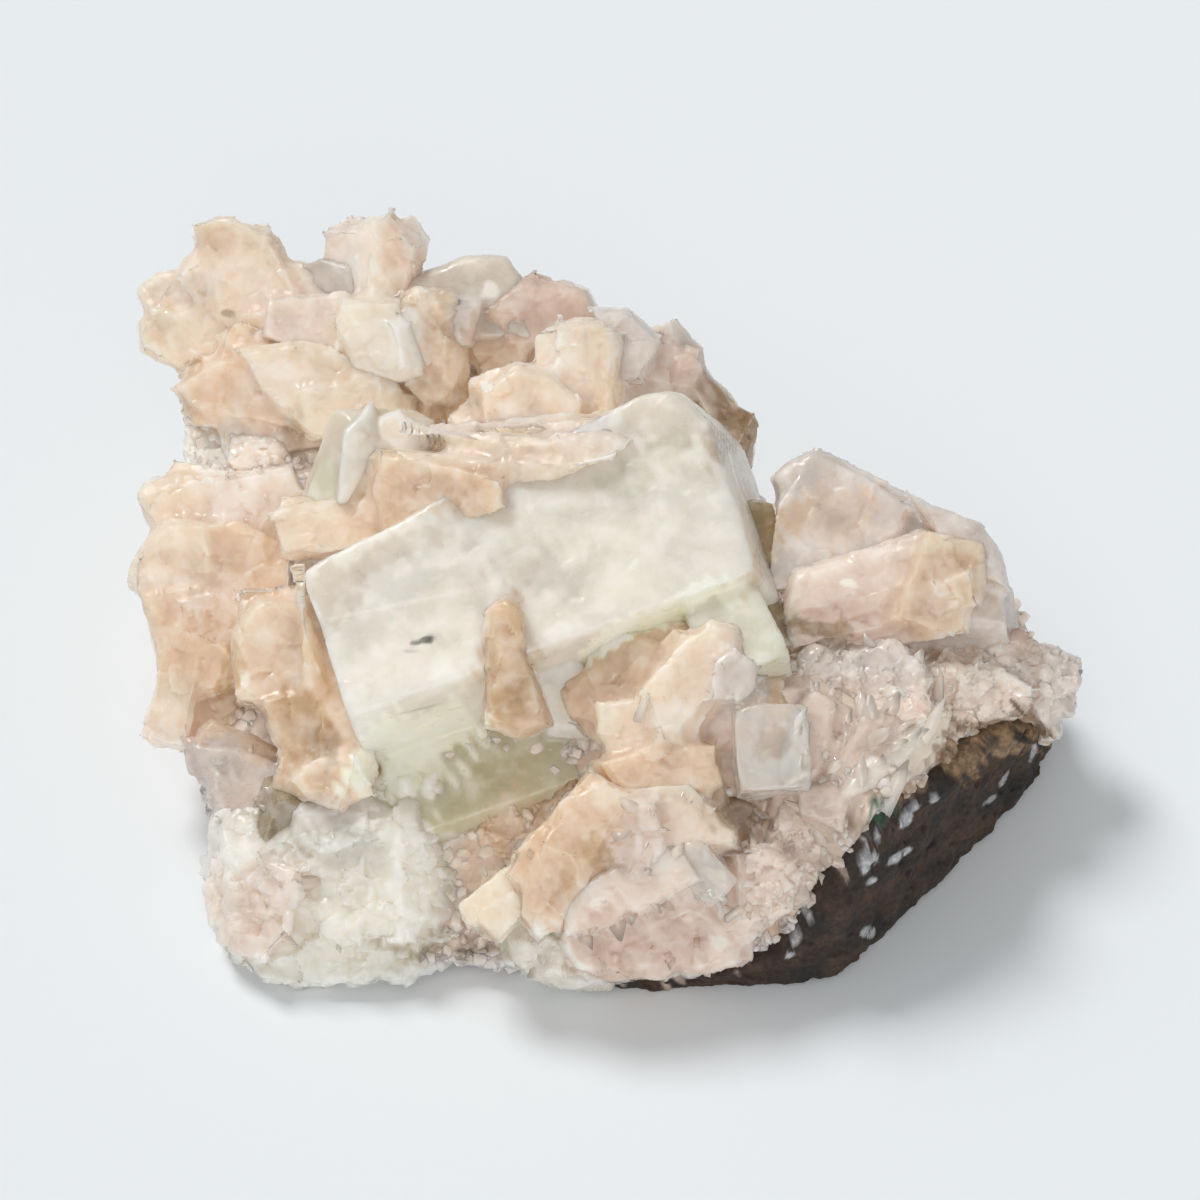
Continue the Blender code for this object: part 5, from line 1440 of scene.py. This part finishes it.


# Marks on what the camera sees, by place: column, row, half width, half height, degrees that it rises to the
# right, colour and strength. Besides stains, specks and tone, some are painted glints and reflections,
# painted shade in recesses and under crystals, and painted light on faces in shade.
MARKS = {
    "crown": [
        (212, 238, 24, 22, 0, "tan", 0.5), (250, 282, 28, 14, 0, "white", 0.35),
        (185, 288, 42, 16, 5, "grey", 0.5), (195, 325, 30, 22, 0, "cream", 0.5),
        (227, 313, 9, 4, 0, "brown", 0.6), (253, 332, 5, 7, -40, "brown", 0.5),
        (192, 362, 9, 5, 20, "brown", 0.6), (300, 300, 50, 28, 0, "pink_white", 0.3),
        # The white mark at 360/258 is a painted glint on the crown's right tip
        (360, 258, 17, 30, -10, "white", 0.6), (391, 240, 11, 26, 0, "tan", 0.45),
        (388, 217, 9, 7, 0, "grey", 0.5), (410, 335, 13, 30, -15, "white", 0.7),
        (362, 330, 26, 22, 0, "cream", 0.5), (385, 340, 34, 34, 0, "white", 0.5),
    ],
    "column": [
        # The brown at 446/398 is painted shadow at the column's foot
        (436, 345, 16, 42, -8, "tan", 0.7), (446, 398, 42, 18, -8, "brown", 0.4),
        (412, 398, 20, 14, 0, "golden", 0.5),
    ],
    "back": [
        # The white mark at 491/291 is a painted glint
        (491, 291, 8, 8, 0, "white", 0.8), (456, 312, 20, 18, -60, "smoke", 0.5),
    ],
    "fan": [
        (190, 386, 16, 14, 0, "tan", 0.45), (240, 395, 45, 20, 0, "peach", 0.5),
        (285, 372, 26, 12, -10, "white", 0.35), (294, 440, 15, 26, 0, "brown", 0.5),
        (620, 672, 52, 26, 25, "tan", 0.6), (275, 385, 60, 34, 0, "white", 0.25),
    ],
    "left druse": [
        (204, 433, 9, 10, 0, "white", 0.9), (219, 462, 12, 18, 0, "white", 0.9),
        (262, 455, 30, 14, 0, "pink_white", 0.5), (235, 450, 46, 34, 0, "white", 0.5),
    ],
    "spike": [
        # The white mark at 412/441 is a painted glint on the spike's clear crystal
        (322, 477, 14, 28, 25, "olive", 0.2), (412, 441, 13, 10, 0, "white", 0.9),
        (392, 428, 14, 10, 0, "cream", 0.7),
    ],
    "tablet": [
        (560, 352, 12, 28, 0, "white", 0.5), (602, 365, 9, 40, 0, "tan", 0.5),
        (592, 411, 22, 15, 20, "tan", 0.6), (504, 410, 10, 10, 0, "white", 0.5),
        # The small white mark at 488/385 is a painted glint
        (488, 385, 5, 5, 0, "white", 1.0), (580, 372, 26, 46, 0, "white", 0.25),
    ],
    "ridge": [
        (532, 450, 15, 6, 0, "brown", 0.3), (415, 488, 2.6, 2.6, 0, "black", 0.9),
        (456, 511, 2.6, 2.6, 0, "black", 0.7), (604, 441, 24, 11, 0, "white", 0.25),
        # The thin peach line at 452/468 is painted shadow under the ridge
        (452, 468, 56, 4, -3, "peach", 0.6), (430, 495, 58, 22, 5, "tan", 0.75),
        (420, 505, 14, 8, 0, "white", 0.4),
    ],
    "rear": [
        (480, 345, 18, 26, 0, "tan", 0.5), (628, 342, 28, 22, -30, "lilac", 0.6),
        # The brown at 722/432 is painted shade on the blade at the back
        (722, 432, 20, 34, -40, "brown", 0.7),
    ],
    "shelf": [
        (235, 503, 34, 18, 0, "white", 0.45), (250, 552, 30, 24, 0, "tan", 0.55),
        (140, 585, 14, 10, 0, "lilac", 0.4), (190, 640, 36, 30, 0, "peach", 0.8),
        (229, 670, 11, 44, -12, "golden", 0.7), (247, 708, 12, 8, -20, "brown", 0.8),
        (175, 700, 18, 26, 0, "cream", 0.5), (215, 722, 26, 20, 0, "peach", 0.7),
        (195, 638, 44, 44, 0, "golden", 0.2),
    ],
    "pillar": [
        (293, 650, 12, 44, -5, "tan", 0.5), (300, 722, 28, 34, -10, "golden", 0.7),
        (322, 742, 9, 20, -10, "brown", 0.4), (320, 690, 14, 26, -15, "golden", 0.5),
        (246, 681, 4, 7, 0, "white", 0.8), (325, 785, 34, 18, 0, "peach", 0.5),
        # The white mark at 362/783 is a painted glint
        (362, 783, 6, 7, 0, "white", 0.8), (276, 655, 44, 62, 0, "golden", 0.2),
        (330, 780, 40, 24, 0, "golden", 0.2), (332, 752, 10, 26, -12, "brown", 0.5),
    ],
    "left plates": [
        (236, 768, 6, 14, 0, "smoke", 0.4), (262, 752, 20, 16, 0, "peach", 0.6),
        (250, 792, 28, 18, 20, "pink_white", 0.5), (278, 818, 22, 30, 40, "olive", 0.5),
    ],
    "corner": [
        (330, 812, 50, 18, 0, "lilac", 0.5), (420, 875, 16, 50, 0, "white", 0.35),
        # The thin white marks on this line are painted glints
        (396, 857, 2.6, 17, 0, "white", 1.0), (370, 893, 2.6, 9, 0, "white", 0.8),
        (446, 872, 6, 30, 0, "milk_green", 0.7), (250, 905, 24, 26, 0, "peach", 0.3),
        (291, 967, 13, 8, -20, "white", 0.9), (258, 961, 9, 9, 0, "white", 0.6),
        # The brown at 480/945 is painted shadow under the corner's foot
        (420, 948, 34, 14, 10, "olive", 0.5), (480, 945, 26, 15, 0, "brown", 0.6),
        (418, 880, 26, 54, 0, "white", 0.8),
    ],
    "block": [
        (372, 590, 70, 30, 25, "grey_milk", 0.6), (328, 612, 13, 28, 0, "smoke", 0.3),
        # The white marks on this line lighten the lower left facet of the block's face: a painted reflection
        # on that facet
        (400, 668, 78, 26, 8, "white", 0.5), (485, 640, 40, 26, 45, "white", 0.45),
        # The pale green strips along the block's front are painted light on faces that lie in shade
        (425, 735, 68, 26, 15, "pale_green_painted_light", 0.9), (655, 617, 95, 11, 27, "pale_green_painted_light", 0.95),
        (735, 592, 24, 13, 20, "pale_green_painted_light", 0.7), (780, 640, 14, 34, -25, "milk_green", 0.6),
        (410, 780, 44, 13, 5, "white", 0.6), (545, 575, 28, 27, 10, "smoke", 0.35),
        (665, 447, 34, 13, 12, "olive", 0.4), (627, 472, 16, 9, 15, "smoke", 0.4),
        (508, 500, 14, 9, 30, "smoke", 0.25), (700, 540, 50, 42, 0, "white", 0.3),
        (421, 641, 12, 3.2, 15, "black", 0.8), (408, 651, 8, 3, 0, "smoke", 0.5),
        # The small white marks at 560/631, 633/565, 530/508 and 617/641 are painted glints
        (420, 709, 24, 1.8, 14, "smoke", 0.45), (560, 631, 15, 7, 10, "white", 0.8),
        (633, 565, 10, 3, 50, "white", 0.9), (530, 508, 4, 4, 0, "white", 1.0),
        (617, 641, 12, 4, 40, "white", 0.9), (335, 590, 30, 34, 20, "grey", 0.75),
        (400, 548, 62, 14, 25, "grey", 0.65), (520, 562, 20, 42, -30, "grey", 0.45),
        (600, 500, 62, 16, 25, "grey", 0.3), (664, 412, 48, 34, 0, "grey", 0.7),
        (645, 468, 52, 18, 30, "milk_green", 0.5), (700, 470, 32, 16, 0, "grey", 0.3),
        # The pale green at the block's lower front is painted light on a face in shade
        (590, 572, 42, 14, 40, "grey", 0.3), (400, 772, 56, 22, 10, "pale_green_painted_light", 0.8),
        (420, 600, 90, 2.4, 12, "white", 0.5),
    ],
    "bow tie": [
        (515, 702, 26, 26, 0, "golden", 0.5), (512, 655, 14, 22, 0, "tan", 0.6),
        (508, 668, 27, 74, 5, "golden", 0.6),
    ],
    "front": [
        (695, 672, 26, 44, -35, "ivory", 0.5), (732, 680, 18, 22, 0, "lilac", 0.6),
        (672, 716, 32, 18, 0, "white", 0.4), (660, 772, 50, 13, 5, "peach", 0.7),
        (535, 832, 70, 44, 20, "peach", 0.55),
    ],
    "sheaf": [
        (745, 815, 28, 18, 0, "brown", 0.7), (575, 825, 34, 34, 45, "peach", 0.4),
        (600, 855, 16, 22, 30, "golden", 0.6), (572, 892, 9, 26, 20, "golden", 0.5),
        (570, 845, 52, 60, 30, "golden", 0.22),
    ],
    "foot": [
        # The small white marks on this line are painted glints
        (545, 948, 12, 8, -40, "white", 0.8), (525, 938, 5, 4, 0, "white", 0.8),
        # The broad white on the green foot is partly its milky colour and partly painted light on its lower
        # part, which lies in shade
        (552, 958, 46, 24, -20, "white", 0.85),
    ],
    "pink foot": [
        # The small white marks at 721/943 and 597/902 are painted glints
        (645, 940, 74, 36, 0, "pink", 0.85), (721, 943, 11, 9, 0, "white", 0.7),
        (597, 902, 11, 5, 20, "white", 0.5),
    ],
    "lilac block": [
        (835, 515, 52, 34, 10, "peach", 0.5), (790, 515, 20, 20, 0, "golden", 0.3),
        (818, 466, 26, 12, 0, "smoke", 0.25),
    ],
    "right blade": [
        (970, 575, 20, 34, 20, "golden", 0.35), (925, 546, 22, 10, 10, "cream", 0.6),
        # The white marks on this line are painted glints
        (847, 583, 9, 5, -10, "white", 1.0), (942, 590, 9, 9, 0, "white", 0.6),
        # The brown band at 816/629 is painted shadow under the right blade
        (816, 629, 40, 9, -4, "brown", 0.8), (932, 660, 8, 18, 10, "brown", 0.6),
        (765, 545, 12, 52, -20, "golden", 0.45),
    ],
    "cube": [
        (775, 745, 24, 18, 0, "smoke", 0.3), (741, 745, 6, 36, 0, "white", 0.8),
        (770, 708, 32, 6, 0, "white", 0.8), (801, 745, 6, 36, 0, "white", 0.7),
        (770, 782, 32, 6, 0, "white", 0.7), (776, 745, 20, 16, 0, "grey", 0.5),
    ],
    "basalt": [
        (985, 732, 30, 13, 5, "ochre", 0.9), (958, 757, 20, 20, 40, "ochre", 0.9),
        (1034, 728, 22, 12, -40, "ochre", 0.8), (905, 793, 24, 5, 30, "ochre", 0.8),
        (1010, 748, 26, 9, 0, "brown", 0.8), (992, 742, 8, 6, 0, "black", 0.7),
        (965, 737, 10, 4, 20, "lilac", 0.8), (1016, 706, 12, 2.4, -50, "dark_brown", 0.9),
        (880, 803, 13, 9, 0, "teal", 0.95), (875, 818, 8, 5, 0, "teal", 0.9),
        (857, 827, 9, 12, 0, "ochre", 0.8), (907, 820, 11, 4.6, 55, "lime", 0.95),
        (914, 808, 6, 3.4, 20, "lime", 0.95), (874, 835, 10, 3.2, 38, "lime", 0.95),
        (870, 863, 10, 4, 48, "lime", 0.95), (872, 881, 7, 3, 25, "lime", 0.9),
        (898, 857, 16, 4.4, 36, "lime", 0.95), (867, 932, 8, 4.6, 20, "lime", 0.9),
        (797, 940, 8, 3.4, 55, "lime", 0.9), (790, 955, 5, 2.6, 15, "lime", 0.9),
        (836, 872, 8, 2.6, 35, "lime", 0.8), (808, 914, 6, 2.6, 48, "lime", 0.8),
        (1004, 779, 11, 2.8, 60, "lime", 0.8), (990, 800, 11, 2.8, 35, "lime", 0.8),
        (1033, 752, 10, 2.8, 75, "lime", 0.8), (935, 800, 6, 2.6, 30, "lime", 0.8),
        (830, 907, 9, 5, 20, "brown", 0.7), (847, 873, 6, 4, 40, "pink", 0.7),
    ],
    "right druse": [
        (985, 672, 60, 34, 0, "white", 0.5), (850, 755, 66, 50, 0, "pink_white", 0.3),
    ],
}


# Thin crystals on what the camera sees, by the node that they belong to: column, row, half width, half
# height, count, size, and lean to the right and up
SHARDS = {
    "heulandite_plates": [(880, 762, 76, 46, 44, 4.8, 0.9, 0.9), (828, 745, 42, 56, 26, 4.6, 0.2, 1.1)],
    "druse_crust": [(232, 452, 46, 32, 8, 2.0, 0, 0.3), (860, 672, 62, 30, 14, 2.6, 0, 0.5),
                    (975, 690, 62, 34, 20, 3.0, 0.2, 0.4), (1050, 680, 34, 40, 8, 3.0, 0.3, 0.2),
                    (790, 860, 50, 60, 24, 4.6, 0.1, 0.9), (530, 830, 66, 46, 16, 1.8, 0, 0.4)],
    "stilbite_foot": [(660, 925, 90, 52, 26, 3.4, 0.1, -0.2), (735, 905, 44, 46, 12, 3.0, 0.4, 0.2)],
    "stilbite_sheaf": [(655, 835, 62, 46, 26, 4.2, -0.1, 0.3)],
    "stilbite_front": [(640, 715, 60, 34, 12, 1.8, -0.1, 0.4), (730, 690, 32, 40, 8, 3.0, 0.3, 0.6)],
    "apophyllite_corner": [(310, 900, 80, 60, 16, 3.6, 0.2, 0.2)],
    "apophyllite_foot": [(555, 960, 54, 24, 8, 3.4, -0.2, -0.1)],
    "clear_plates": [(238, 785, 48, 40, 12, 3.6, -0.2, 0.3)],
    "stilbite_shelf": [(215, 605, 40, 38, 12, 1.5, 0, 0.3), (235, 498, 42, 22, 6, 1.8, 0, 0.4)],
    "apophyllite_block": [(408, 782, 44, 10, 9, 3.0, 0, -0.5)],
    "stilbite_tablet": [(490, 408, 20, 30, 8, 1.4, -0.3, 0.2)],
}
THIN_SUNK = 0.35

# Rings of the crust, counted from the table, that carry no small crystals
BARE_ROWS = 7


# What a user may change

class CrystalLooks(bpy.types.PropertyGroup):
    small_count: bpy.props.IntProperty(name="Small crystals", description="Small crystals on the crust",
                                       default=4800, min=0, max=8000)
    small_size: bpy.props.FloatProperty(name="Small crystal size", description="Mean size of a small crystal",
                                        default=0.0011, unit="LENGTH")
    milk: bpy.props.FloatProperty(name="Milkiness", description="How deep light scatters in the green blocks",
                                  default=0.007, unit="LENGTH")
    wax: bpy.props.FloatProperty(name="Waxiness", description="How deep light scatters in the sheaves",
                                 default=0.004, unit="LENGTH")


class StageLooks(bpy.types.PropertyGroup):
    floor_colour: bpy.props.FloatVectorProperty(name="Floor", description="Colour of the table", size=3,
                                                subtype="COLOR", default=(0.85, 0.887, 0.909), min=0, max=1)
    sky: bpy.props.FloatProperty(name="Sky", description="Strength of the light from all round",
                                 default=0.352)
    fill: bpy.props.FloatProperty(name="Fill", description="Strength of the light from the front",
                                  default=0.19)
    glow: bpy.props.FloatProperty(name="Glow", description="Strength of the low light without shadows",
                                  default=1.03)
    sun: bpy.props.FloatProperty(name="Sun", description="Strength of the light from the upper left",
                                 default=1.69)


def looks():
    return bpy.context.scene.crystal_looks


class BasaltPiece(bpy.types.Operator):
    """Builds the mottled basalt; the marks paint its weathered rim and filled bubbles"""
    bl_idname = "crystals.basalt"
    bl_label = "Basalt"

    def execute(self, context):
        points, faces = basalt_surface()
        body = plain((points, faces), "black", "dark_brown", 0.4, 4, 3)
        add_piece("basalt", [body], basalt_finish(), "basalt_matrix", sharp=80)
        return {"FINISHED"}


class CrustPiece(bpy.types.Operator):
    """Builds the crust with its small crystals"""
    bl_idname = "crystals.crust"
    bl_label = "Crust"

    def execute(self, context):
        points, faces, grid = crust_surface()
        chance = np.random.default_rng(SEED)
        body = plain((points, faces), "pink_white", "tan", 0.6, 7, 20)
        normals = grid_normals(grid)
        columns = grid.shape[1]
        count = looks().small_count
        span = np.linalg.norm(grid[:, :, :2], axis=2)
        weight = span[BARE_ROWS:].reshape(-1) / span[BARE_ROWS:].sum()
        picks = chance.choice(weight.size, size=count, replace=False, p=weight) + BARE_ROWS * columns
        sizes = looks().small_size / MM * np.exp(np.minimum(chance.normal(size=count), 1.3) * 0.42)
        share = np.clip(chance.normal(size=count) * 0.3 + 0.5, 0, 1)
        tints = mixed(colour("pink_white"), colour("lilac"), share * 0.6)
        small = small_crystals(grid.reshape(-1, 3)[picks], normals.reshape(-1, 3)[picks], sizes, chance,
                               tints)
        finish = mineral("crust", 0.3, 0.9, 1.6, bump=0.5, grain=1500, veil=0.2, facet=700)
        add_piece("crust", [body], finish, "druse_crust", sharp=35)
        blades = sheaf_form(RIGHT_DRUSE, SLABS["druse_crust"], solid_tree(), fill=0.3, chip=0.25)
        add_piece("crust_blades", [blades], finish, "druse_crust", sharp=35)
        add_piece("crust_points", [small], finish, "druse_crust", sharp=35)
        return {"FINISHED"}


class GreenBlocks(bpy.types.Operator):
    """Builds the milky green blocks"""
    bl_idname = "crystals.green_blocks"
    bl_label = "Green blocks"

    def execute(self, context):
        deep = looks().milk / MM
        milky = mineral("milky green", 0.34, 0.85, deep, ior=1.535, bump=0.12, grain=1100, veil=0.12,
                        frost=0.45)
        dull = mineral("milky corner", 0.4, 0.85, deep * 0.8, ior=1.535, bump=0.35, veil=0.14)
        glassy = mineral("olive green", 0.2, 0.7, 2.0, clear=0.35, ior=1.535, bump=0.15, veil=0.15)
        add_piece("green_block", [main_block()], milky, "apophyllite_block")
        add_piece("corner_block", [corner_block()], dull, "apophyllite_corner")
        add_piece("green_spike", [spike()], dull, "apophyllite_spike")
        add_piece("dark_wedge", [wedge()], glassy, "apophyllite_wedge")
        add_piece("olive_blade", [olive_blade()], glassy, "olive_crystal")
        return {"FINISHED"}


class ClearBlocks(bpy.types.Operator):
    """Builds the clear, smoky and lilac crystals"""
    bl_idname = "crystals.clear_blocks"
    bl_label = "Clear and smoky crystals"

    def execute(self, context):
        clear = mineral("clear", 0.12, 0.6, 1.5, clear=0.6, ior=1.535, bump=0.2, veil=0.05,
                        absorb=((0.95, 0.93, 0.9), 8))
        cloudy = mineral("clear green", 0.2, 0.7, 2.5, clear=0.25, ior=1.535, bump=0.3, veil=0.12)
        smoke = mineral("smoky", 0.3, 0.85, 3.0, ior=1.535, bump=0.2, veil=0.14)
        add_piece("clear_cube", [cube()], clear, "apophyllite_cube")
        add_piece("clear_prism", [small_clear()], clear, "clear_crystal")
        add_piece("green_foot", [foot_crystal()], cloudy, "apophyllite_foot")
        add_piece("back_prism", [back_crystal()], smoke, "apophyllite_back")
        add_piece("smoky_prism", [smoky()], smoke, "smoky_crystal")
        add_piece("lilac_block", [grey_block()], smoke, "grey_crystal")
        return {"FINISHED"}


class StilbiteSheaves(bpy.types.Operator):
    """Builds the stilbite sheaves and the thin plates"""
    bl_idname = "crystals.sheaves"
    bl_label = "Stilbite sheaves"

    def execute(self, context):
        wax = mineral("stilbite", 0.36, 0.95, looks().wax / MM, ior=1.5, bump=0.3, veil=0.12)
        pearl = mineral("plates", 0.3, 0.8, 1.4, clear=0.2, ior=1.5, bump=0.35, veil=0.12)
        tree = solid_tree()
        for node, rows in SHEAVES.items():
            finish = pearl if node.endswith("plates") else wax
            name = node.replace("stilbite_", "sheaf_")
            crisp = {"rounds": 2, "fill": 0.15, "chip": 0.06} if finish == pearl else {}
            form = sheaf_form(rows, SLABS.get(node, ()), tree, **crisp)
            add_piece(name, [form], finish, node)
        return {"FINISHED"}


class ThinCrystals(bpy.types.Operator):
    """Scatters thin clear crystals over the places that glitter"""
    bl_idname = "crystals.thin"
    bl_label = "Thin crystals"

    def execute(self, context):
        hosts = [piece for piece in tinted_pieces() if piece.name != "basalt"]
        points, normals, host_tints, u, v = seen_points(hosts)
        chance = np.random.default_rng(SEED + 1)
        finish = mineral("thin crystal", 0.12, 0.0, 1.0, clear=0.35, ior=1.53, bump=0.03, veil=0.05)
        for node, rows in SHARDS.items():
            parts = []
            for middle, level, wide, tall, count, size, right, up in rows:
                inside = np.nonzero(np.hypot((u - middle) / wide, (v - level) / tall) < 1)[0]
                picks = chance.choice(inside, count, replace=False)
                sizes = size * np.exp(np.minimum(chance.normal(size=count), 1.2) * 0.4)
                tints = mixed(host_tints[picks], colour("white"), chance.uniform(0.2, 0.7, count))
                feet = points[picks] - normals[picks] * sizes[:, None] * THIN_SUNK
                parts.append(shards(feet, normals[picks], sizes, chance, RIGHT * right + UP * up, tints))
            add_piece("thin_" + node, parts, finish, node, smooth=False)
        return {"FINISHED"}


class MarkColours(bpy.types.Operator):
    """Tints the pieces: clouds, stains, frost, filled bubbles, painted glints, painted shade and painted
    light
    """
    bl_idname = "crystals.marks"
    bl_label = "Marks"

    def execute(self, context):
        paint_marks(tinted_pieces())
        return {"FINISHED"}


class StagePieces(bpy.types.Operator):
    """Sets the table, the light from the upper left and the camera"""
    bl_idname = "crystals.stage"
    bl_label = "Stage"

    def execute(self, context):
        stage_looks = context.scene.stage_looks
        floor = bpy.data.meshes.new("floor")
        floor.from_pydata([(-3, -3, 0), (3, -3, 0), (3, 3, 0), (-3, 3, 0)], [], [(0, 1, 2, 3)])
        table = bpy.data.objects.new("floor", floor)
        context.scene.collection.objects.link(table)
        paint = bpy.data.materials.new("table")
        paint.use_nodes = True
        shader = paint.node_tree.nodes["Principled BSDF"]
        shader.inputs["Base Color"].default_value = (*stage_looks.floor_colour, 1)
        shader.inputs["Roughness"].default_value = 1.0
        shader.inputs["Specular IOR Level"].default_value = 0.0
        floor.materials.append(paint)
        self.set_light(context, stage_looks)
        self.set_camera(context)
        context.scene.view_settings.view_transform = "Standard"
        context.scene.view_settings.look = "None"
        return {"FINISHED"}

    def set_light(self, context, stage_looks):
        world = bpy.data.worlds.new("studio")
        world.use_nodes = True
        world.node_tree.nodes["Background"].inputs["Color"].default_value = (1, 1, 1, 1)
        world.node_tree.nodes["Background"].inputs["Strength"].default_value = stage_looks.sky
        context.scene.world = world
        self.set_sun(context, "window", stage_looks.sun, 20, (-0.42, 0.42, 0.8))
        self.set_sun(context, "front", stage_looks.fill, 40, BACK - 0.15 * RIGHT)
        glow = self.set_sun(context, "glow", stage_looks.glow, 40, (0.15, -0.9, 0.35))
        glow.use_shadow = False

    def set_sun(self, context, name, strength, spread, towards):
        lamp = bpy.data.lights.new(name, "SUN")
        lamp.energy = strength
        lamp.angle = math.radians(spread)
        window = bpy.data.objects.new(name, lamp)
        towards = unit(towards)
        window.rotation_euler = (math.acos(towards[2]), 0, math.atan2(towards[1], towards[0]) + math.pi / 2)
        context.scene.collection.objects.link(window)
        return lamp

    def set_camera(self, context):
        lens = bpy.data.cameras.new("camera")
        lens.sensor_width = 36.0
        lens.lens = lens.sensor_width * VIEW_DISTANCE / VIEW_WIDTH
        lens.clip_start = 0.05
        camera = bpy.data.objects.new("camera", lens)
        camera.location = (np.array(VIEW_TARGET) + BACK * VIEW_DISTANCE) * MM
        camera.rotation_euler = (math.pi / 2 - VIEW_ELEVATION, 0, 0)
        context.scene.collection.objects.link(camera)
        context.scene.camera = camera


STEPS = (BasaltPiece, CrustPiece, GreenBlocks, ClearBlocks, StilbiteSheaves, ThinCrystals, MarkColours,
         StagePieces)


class CrystalPanel(bpy.types.Panel):
    """Lists the steps that build the cluster"""
    bl_idname = "VIEW3D_PT_crystals"
    bl_label = "Crystal cluster"
    bl_space_type = "VIEW_3D"
    bl_region_type = "UI"
    bl_category = "Crystals"

    def draw(self, context):
        for group in (context.scene.crystal_looks, context.scene.stage_looks):
            for name in group.__annotations__:
                self.layout.prop(group, name)
        for step in STEPS:
            self.layout.operator(step.bl_idname)


CLASSES = (CrystalLooks, StageLooks, *STEPS, CrystalPanel)


def register():
    for made in CLASSES:
        bpy.utils.register_class(made)
    bpy.types.Scene.crystal_looks = bpy.props.PointerProperty(type=CrystalLooks)
    bpy.types.Scene.stage_looks = bpy.props.PointerProperty(type=StageLooks)


def unregister():
    del bpy.types.Scene.stage_looks
    del bpy.types.Scene.crystal_looks
    for made in reversed(CLASSES):
        bpy.utils.unregister_class(made)


def main():
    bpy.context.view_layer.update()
    register()
    bpy.ops.crystals.basalt()
    bpy.ops.crystals.crust()
    bpy.ops.crystals.green_blocks()
    bpy.ops.crystals.clear_blocks()
    bpy.ops.crystals.sheaves()
    bpy.ops.crystals.thin()
    bpy.ops.crystals.marks()
    bpy.ops.crystals.stage()
    bpy.context.view_layer.update()


if __name__ == "__main__":
    main()
